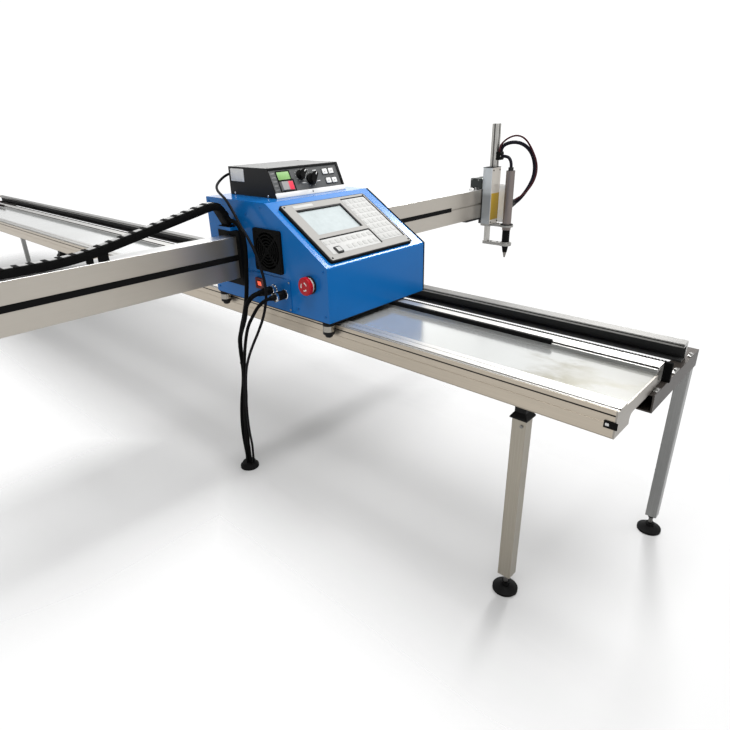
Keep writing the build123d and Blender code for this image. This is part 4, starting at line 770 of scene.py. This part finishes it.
# painted shade: black strips along the upper and far edges of the display and of both keypads, standing for the shade
# of their recesses
console.pad(5.0, 153.4, 0.6, 4.62, 8.3, 0.3, "black", SLOPE, 52.6, -44)
console.pad(88.2, 5.0, 0.6, 4.62, 8.3, 0.3, "black", SLOPE, 99.5, 30.2)
console.pad(4.6, 88.0, 0.8, 8.02, 8.7, 0.2, "blackrough", SLOPE, 38.4, 88)
console.pad(168.0, 4.6, 0.8, 8.02, 8.7, 0.2, "blackrough", SLOPE, 123.5, 131.2)
console.pad(167, 84.5, 2, 8.02, 8.4, 0.12, "keypad", SLOPE, 124.0, 86.4)
for i in range(8):
    for j in range(5):
        console.pad(14.6, 12.8, 2.2, 8.3, 8.95, 0.35, "keycap", SLOPE, 51.5 + i * 20.6, 53.6 + j * 16.4)
console.pad(4.6, 172.0, 0.8, 8.02, 8.7, 0.2, "blackrough", SLOPE, 159.6, -46)
console.pad(54.0, 4.6, 0.8, 8.02, 8.7, 0.2, "blackrough", SLOPE, 186.6, 39.0)
console.pad(52, 168, 2, 8.02, 8.4, 0.12, "keypad", SLOPE, 188.0, -48)
for j in range(9):
    console.pad(13.0, 13.6, 2.2, 8.3, 8.95, 0.35, "keycap", SLOPE, 175.0, -123 + j * 18.6)
for j in range(3, 9):
    console.pad(13.0, 13.6, 2.2, 8.3, 8.95, 0.35, "keycap", SLOPE, 200.0, -123 + j * 18.6)
# a black ring round the raised key, partly real and partly painted shade
console.frame(22.5, 22.5, 4.5, 14.9, 14.9, 2.4, 8.3, 10.2, "black", SLOPE, 203.6, -107)
for s, y in ((34, -144), (34, 133), (224, -144), (224, 133)):
    console.screw(2.4, 1.2, "blackrough", SLOPE, s, y, 8.0)
console.pad(9.0, 64, 1.5, 8.02, 8.5, 0.15, "keypad", SLOPE, 39.0, -88)
console.done("carriage", "panel_silver")

# -------------------------------------------------------- height control box
box = Piece("height_control_trim")
box.pad(247.0, 5.6, 0.8, -1.02, 0.6, 0.2, "black", FACE, 0, 75.6)
box.pad(8.6, 62.0, 0.8, -1.02, 0.6, 0.2, "black", FACE, 119.2, 43.0)
box.pad(2.6, 62.0, 0.6, -1.02, 0.4, 0.2, "black", FACE, -122.2, 43.0)
box.pad(247.4, 13.4, 0.6, 0.02, 1.0, 0.3, "brightstrip", FACE, 0, 6.7)
box.screw(2.0, 0.9, "blackrough", FACE, 2, 6.8, 0.9)
box.frame(46.0, 26.0, 1.5, 40.2, 20.7, 0.8, -1.02, 0.5, "blackrough", FACE, -78, 56.6)
box.pad(40.0, 20.5, 0.5, -1.02, -0.1, 0.1, "lcd", FACE, -78, 56.6)
box.frame(52.0, 32.0, 2.0, 46.4, 27.4, 1.4, -1.02, 0.3, "blackrough", FACE, -75.5, 30)
for k in range(5):
    box.pad(12, 3.0, 0.6, -1.02, -0.7, 0.1, "thcmark", FACE, -110.5, 22 + k * 10.5)
for x, y in ((67, 56), (90, 56), (71, 30.5), (92.5, 30)):
    box.frame(20.4, 17.6, 2.4, 17.6, 14.8, 1.6, -1.02, 0.0, "blackrough", FACE, x, y)
    box.pad(17.2, 14.4, 1.8, -1.02, 1.3, 0.5, "white", FACE, x, y)
    box.pad(5.5, 1.4, 0.4, 1.28, 1.5, 0.06, "thcface", FACE, x, y)
for x, y, r0 in ((-22, 53.5, 16.4), (10, 39.0, 18.4)):
    for k in range(11):
        a = math.radians(-60 + k * 30)
        if 12 < y + r0 * math.sin(a) - 4 < 69:
            box.loft([circle(0.75, -1.02, 10, x + r0 * math.cos(a), y + r0 * math.sin(a)),
                      circle(0.75, -0.7, 10, x + r0 * math.cos(a), y + r0 * math.sin(a))], "white", FACE)
for x, y, w in ((-16, 32.5, 13), (36, 33, 11), (32, 62, 13), (4, 66, 9)):
    box.pad(w, 2.2, 0.5, -1.02, -0.7, 0.1, "label", FACE, x, y)
side_box = axes((1, 0, 0), (0, 0, 1), (0, -1, 0), (0, -108, 0))
back_box = axes((1, 0, 0), (0, 0, -1), (0, 1, 0), (0, 140.5, 0))
for x in (1168, 1311):
    box.screw(3.1, 1.9, "chrome", side_box, x, 810.5, 0.0)
    box.screw(3.1, 1.9, "chrome", back_box, x, -810.5, 0.0)
box.pad(59, 32, 1.2, 0.02, 0.4, 0.12, "label", side_box, 1183.5, 857)
box.turned([(6.4, -0.5), (6.4, 1.2), (5.8, 1.8), (4.6, 6.5), (4.0, 6.6)], "black", axes((0, 0, 1), (0, -1, 0), (-1, 0, 0), (1145.5, -96, 858)))
for x, y in ((1160, -95), (1160, 128), (1298, -95), (1298, 128)):
    box.screw(2.6, 0.9, "bolt", TOP, x, y, 878.0)
box.done("carriage", "grey_paint")

for name, body, x, y, turn, top, reach in (("dial_mark_1", "dial_1", -22, 53.5, 40, 16.3, 10.2), ("dial_mark_2", "dial_2", 10, 39.0, 50, 19.3, 13.0)):
    a = math.radians(turn)
    mark = Piece(name)
    c, s = math.cos(a), math.sin(a)
    local = FACE @ axes((c, s, 0), (-s, c, 0), (0, 0, 1), (x, y, 0))
    mark.pad(8.5, 1.9, 0.6, top - 0.02, top + 0.25, 0.1, "white", local, reach - 1.5, 0)
    mark.done(body, "black_plastic")

# ----------------------------------------------------------- cabinet details
cab = Piece("cabinet_trim")
edge = [(1384, 184.6, 806.4), (1590.2, 184.6, 678.2), (1590.2, 184.6, 546)]
for a, b in zip(edge, edge[1:]):
    nrm = Vector((129, 0, 207.4)).normalized() if a[2] > 700 else Vector((1, 0, 0))
    cab.bar(Vector(a) - nrm * 1.2, Vector(b) - nrm * 1.2, 3.8, 3.6, "blackrough", nrm, 1.2)
for x, z in ((1140, 560), (1140, 795), (1362, 795), (1577, 668), (1577, 560), (1480, 560), (1300, 775)):
    cab.screw(2.6, 1.5, "blue2", SIDE, x, z, 0.0)
for x, z in ((1280, 553), (1280, 622), (1452, 622), (1452, 553)):
    cab.screw(2.4, 1.4, "bolt", SIDE2, x, z, 0.0)
rear_side = axes((1, 0, 0), (0, 0, -1), (0, 1, 0), (0, 182.6, 0))
for x, z in ((1140, 560), (1140, 795), (1362, 795), (1577, 668), (1577, 560)):
    cab.screw(2.6, 1.5, "blue2", rear_side, x, -z, 0.0)
back = axes((0, 1, 0), (0, 0, -1), (-1, 0, 0), (1127, 0, 0))
for y in (-160, 166):
    for z in (560, 792):
        cab.screw(2.6, 1.5, "blue2", back, y, -z, 0.0)
for k in range(7):
    cab.frame(70, 6, 2.5, 66, 2.6, 1.0, 0.02, 1.6, "blue", back, 60, -(640 + k * 11))
cab.frame(33.0, 29.0, 3.0, 20.6, 17.0, 1.2, 2.02, 5.0, "darkred", SIDE2, 1337, 602)
cab.frame(31.6, 27.6, 3.0, 28.2, 24.2, 2.0, 0.02, 1.9, "black", SIDE2, 1337, 602)
cab.done("carriage", "blue_paint")

fan_screws = Piece("fan_screws")
grille = axes((1, 0, 0), (0, 0, 1), (0, -1, 0), (1382, -182.6, 692))
for x in (-44, 44):
    for z in (-44, 44):
        fan_screws.screw(3.2, 1.6, "blackrough", grille, x, z, 0.0)
# dark lining of the opening behind the guard
fan_screws.loft([circle(45.95, -5.95, 64), circle(45.95, -5.4, 64), circle(44.5, -5.4, 64), circle(44.5, -8.6, 64), circle(44.9, -8.6, 64),
                 circle(44.9, -5.95, 64)], "blackrough", grille, loop=True)
fan_screws.done("carriage", "black_plastic")

stop = Piece("stop_marks")
head = axes((1, 0, 0), (0, 0, 1), (0, -1, 0), (1528.5, -196.6, 629.5))
for k in range(3):
    a0 = math.radians(k * 120 + 20)
    arc = []
    for j in range(9):
        a = a0 + math.radians(8.5 * j)
        w = 1.2 if j < 6 else 2.8 * (8 - j) / 2.2 + 0.05
        arc.append([Vector(((9.6 + o) * math.cos(a), (9.6 + o) * math.sin(a), z)) for o, z in ((-w, -0.3), (w, -0.3), (w, 0.2), (-w, 0.2))])
    stop.loft(arc, "white", head)
stop.done("stop", "red_plastic")

# ------------------------------------------------------------ lifter details
lift = Piece("lifter_trim")
lift.frame(43.6, 66.6, 2.4, 27.4, 27.4, 1.0, 797.02, 798.4, "blackrough", TOP, 1280, 1032.5, 0.0, 13.5)
x_face = axes((0, 1, 0), (0, 0, 1), (1, 0, 0), (1301, 0, 0))
lift.pad(57, 103, 1.0, 0.02, 0.35, 0.1, "patch", x_face, 1031.5, 648.5)
for y, z in ((1010, 787), (1056, 787), (1008, 588), (1056, 588)):
    lift.screw(2.8, 1.6, "blackrough", x_face, y, z, 0.0)
y_face = axes((1, 0, 0), (0, 0, 1), (0, -1, 0), (0, 1000, 0))
for x, z in ((1268, 787), (1292, 787), (1292, 590), (1268, 590)):
    lift.screw(2.0, 1.0, "housing", y_face, x, z, 0.0)
lift.pad(2.6, 112, 0.6, 0.02, 1.3, 0.3, "blackrough", y_face, 1261.0, 659)
lift.turned([(9.5, 714.1), (9.5, 718.6), (8.6, 720.6), (6.0, 722.2), (2.0, 722.8)], "white", Matrix.Translation(Vector((1236, 958, 0))))
lift.turned([(4.0, 714.1), (4.0, 722.6), (3.2, 724.0)], "bolt", Matrix.Translation(Vector((1246, 972, 0))))
lift.done("beam", "grey_paint")

motor = Piece("lifter_motor_body")
m_at = axes((1, 0, 0), (0, 0, 1), (0, -1, 0), (1236, 1059, 735.7))
motor.pad(41.6, 42.4, 3, 0.0, 16, 0.8, "motor", m_at)
motor.pad(39.6, 40.4, 5, 15.8, 60, 0.8, "motorbody", m_at)
motor.pad(41.6, 42.4, 3, 59.8, 77.8, 1.2, "motor", m_at)
for k in range(4):
    motor.pad(3.0, 30.0, 1.0, 20.0, 56.0, 0.6, "motor", m_at, -12 + k * 8.0, 6.0)
for x in (-15.5, 15.5):
    for z in (-15.5, 15.5):
        motor.screw(2.4, 0.2, "bolt", m_at, x, z, 77.7)
motor.done("beam", "motor_black", ["lifter_motor"])

hold = Piece("torch_clamps")
at = Matrix.Translation(Vector((1361, 1035, 509)))
hold.loft([circle(20.5, 0.02, 48), circle(20.5, 1.6, 48), circle(19.9, 2.2, 48), circle(15.7, 2.2, 48), circle(15.3, 1.8, 48), circle(15.3, 0.02, 48)],
          "ring", at, loop=True)
hold.screw(3.0, 3.0, "bolt", at, -32, -9, 0.0)
hold.screw(3.0, 3.0, "bolt", at, -62, -8, 0.0)
hold.done("lifter", "black_steel")

guide = Piece("guide_screws")
at = Matrix.Translation(Vector((1361, 1035, 580)))
guide.loft([circle(24.5, 0.02, 48), circle(24.5, 2.2, 48), circle(23.8, 2.8, 48), circle(18.4, 2.8, 48), circle(17.7, 2.2, 48), circle(17.7, 0.02, 48)],
           "blackrough", at, loop=True)
guide.screw(2.8, 2.6, "bolt", at, -44, 12, 0.0)
guide.screw(2.8, 2.6, "bolt", at, -44, -12, 0.0)
guide.done("beam", "black_steel")

clamp = Piece("clamp_ties")
for z in (829, 848):
    clamp.frame(20.6, 32.6, 3.4, 18.1, 30.1, 3.0, -1.6, 1.6, "blackrough", Matrix.Translation(Vector((1302, 1046, z))))
clamp.screw(2.6, 1.8, "bolt", axes((0, 1, 0), (0, 0, 1), (1, 0, 0), (1311, 0, 0)), 1034.5, 838, 0.0)
clamp.done("lifter", "black_plastic")

# a tie round one cable, its long tail hanging down in a loop
tie = Piece("cable_tie")
tie_at = axes((1, 0, 0), (0, 1, 0), (0, 0, 1), (1268, -218, 370))
tie.loft([circle(7.2, -2.2, 32), circle(7.2, 2.2, 32), circle(6.1, 2.2, 32), circle(6.1, -2.2, 32)], "blackrough", tie_at, loop=True)
tie.pad(6, 5.5, 1, -3.2, 3.2, 0.6, "blackrough", tie_at, 8.6, -3.0)
tail = bent([(1276, -222, 370), (1280, -225, 352), (1284, -227.6, 303), (1275, -226.8, 294), (1272, -224.6, 318), (1272.6, -223.2, 352)],
            (14.0, 40.0, 4.0, 4.0), 2.0)
strap = []
for k, p in enumerate(tail):
    t = (tail[min(k + 1, len(tail) - 1)] - tail[max(k - 1, 0)]).normalized()
    s = Vector((0.5, -0.86, 0)).cross(t).normalized()
    u = t.cross(s)
    strap.append([p + s * q.x + u * q.y for q in rrect(1.1, 3.2, 0.3, 0, n=2)])
tie.loft(strap, "blackrough")
tie.done("carriage", "cable_black")

# --------------------------------------------------------------- rail details
rail = Piece("rail_screws")
# clips and bolts on top of the cross tubes
for sx in (-1, 1):
    for y, w in ((47.0, 20.0), (162.0, 34.0), (270.0, 24.0)):
        rail.pad(7.6, w, 1.2, 499.05, 502.0, 0.6, "bolt", TOP, sx * 2254.6, y)
        rail.loft([hexagon(3.4, 502.0, 24, sx * 2254.6, y), hexagon(3.4, 504.6, 24, sx * 2254.6, y), circle(2.7, 505.2, 24, sx * 2254.6, y)], "bolt", TOP)
clip = axes((1, 0, 0), (0, 0, 1), (0, -1, 0), (2241.5, -149.4, 504))
rail.pad(6.5, 5.0, 0.8, 0.02, 0.4, 0.1, "white", clip, -5.5, 0.4)
rail.done("stand", "bolt_steel")

# -------------------------------------------------------------------- stage
floor_mesh = bpy.data.meshes.new("floor")
floor_mesh.from_pydata([(-30, -30, 0), (30, -30, 0), (30, 30, 0), (-30, 30, 0)], [], [(0, 1, 2, 3)])
floor = bpy.data.objects.new("floor", floor_mesh)
SCENE.collection.objects.link(floor)
ft = Tree("floor_pale")
fn = ft.noise(1.2, (1, 1, 1), 3.0)
# the floor runs out softly into the white surroundings
near_rail = ft.math("MULTIPLY", ft.span(ft.math("ABSOLUTE", ft.math("SUBTRACT", ft.axis("Y"), 0.12)), 0.33, 0.64, 1, 0),
                    ft.span(ft.math("ABSOLUTE", ft.axis("X")), 2.2, 3.0, 1, 0))
near_beam = ft.math("MULTIPLY", ft.span(ft.math("ABSOLUTE", ft.math("SUBTRACT", ft.axis("X"), 1.05)), 0.15, 0.45, 0.75, 0),
                    ft.span(ft.math("ABSOLUTE", ft.axis("Y")), 0.75, 1.45, 1, 0))
floor_mesh.materials.append(ft.done(ft.mix(ft.span(fn, 0.3, 0.7, 0, 1), (0.555, 0.555, 0.555), (0.575, 0.575, 0.575)), 0.0, 0.7,
                                    **{"Specular IOR Level": 0.2, "Alpha": ft.math("MAXIMUM", near_rail, near_beam)}))

world = bpy.data.worlds.new("studio")
SCENE.world = world
world.use_nodes = True
wn = world.node_tree
bg = wn.nodes["Background"]
tc = wn.nodes.new("ShaderNodeTexCoord")
sep = wn.nodes.new("ShaderNodeSeparateXYZ")
wn.links.new(tc.outputs["Generated"], sep.inputs[0])


def sky_span(value, a, b, lo, hi):
    n = wn.nodes.new("ShaderNodeMapRange")
    n.interpolation_type = "SMOOTHSTEP"
    wn.links.new(value, n.inputs[0])
    n.inputs[1].default_value, n.inputs[2].default_value = a, b
    n.inputs[3].default_value, n.inputs[4].default_value = lo, hi
    return n.outputs[0]


def sky_lobe(direction, a, b, level):
    d = wn.nodes.new("ShaderNodeVectorMath")
    d.operation = "DOT_PRODUCT"
    wn.links.new(tc.outputs["Generated"], d.inputs[0])
    d.inputs[1].default_value = Vector(direction).normalized()
    return sky_span(d.outputs["Value"], a, b, 0.0, level)


def sky_sum(a, b):
    n = wn.nodes.new("ShaderNodeMath")
    n.operation = "ADD"
    wn.links.new(a, n.inputs[0])
    wn.links.new(b, n.inputs[1])
    return n.outputs[0]


# a bright horizon, a dim dome and one wide soft panel behind the machine
level = sky_span(sep.outputs[2], 0.16, 0.30, 1.05, 0.06)
level = sky_sum(level, sky_lobe((-0.55, 0.66, 0.50), 0.80, 0.94, 1.15))
wn.links.new(level, bg.inputs[1])
bg.inputs[0].default_value = (1.0, 1.0, 1.0, 1)


def area_light(name, pos, target, size, power, colour=(1, 1, 1)):
    data = bpy.data.lights.new(name, "AREA")
    data.shape = "RECTANGLE"
    data.size, data.size_y = size
    data.energy = power
    data.color = colour
    obj = bpy.data.objects.new(name, data)
    SCENE.collection.objects.link(obj)
    obj.location = pos
    obj.rotation_mode = "QUATERNION"
    obj.rotation_quaternion = (Vector(target) - Vector(pos)).to_track_quat("-Z", "Y")
    return obj


area_light("over", (2.4, -0.10, 3.9), (1.7, -0.05, 0.3), (3.6, 2.2), 195)
area_light("left", (-2.1, -1.75, 3.7), (1.2, 0.0, 0.5), (1.8, 1.8), 12)
# two panels behind the machine, mirrored by the console's border
area_light("back", (1.32, 2.91, 3.40), (1.50, 0.0, 0.70), (0.52, 1.25), 98)
area_light("right", (4.3, -0.7, 2.3), (1.6, 0.0, 0.6), (1.5, 1.5), 5)
area_light("back_side", (0.45, 2.75, 3.62), (1.40, 0.0, 0.78), (0.7, 1.0), 8)
SCENE.view_settings.view_transform = "Standard"
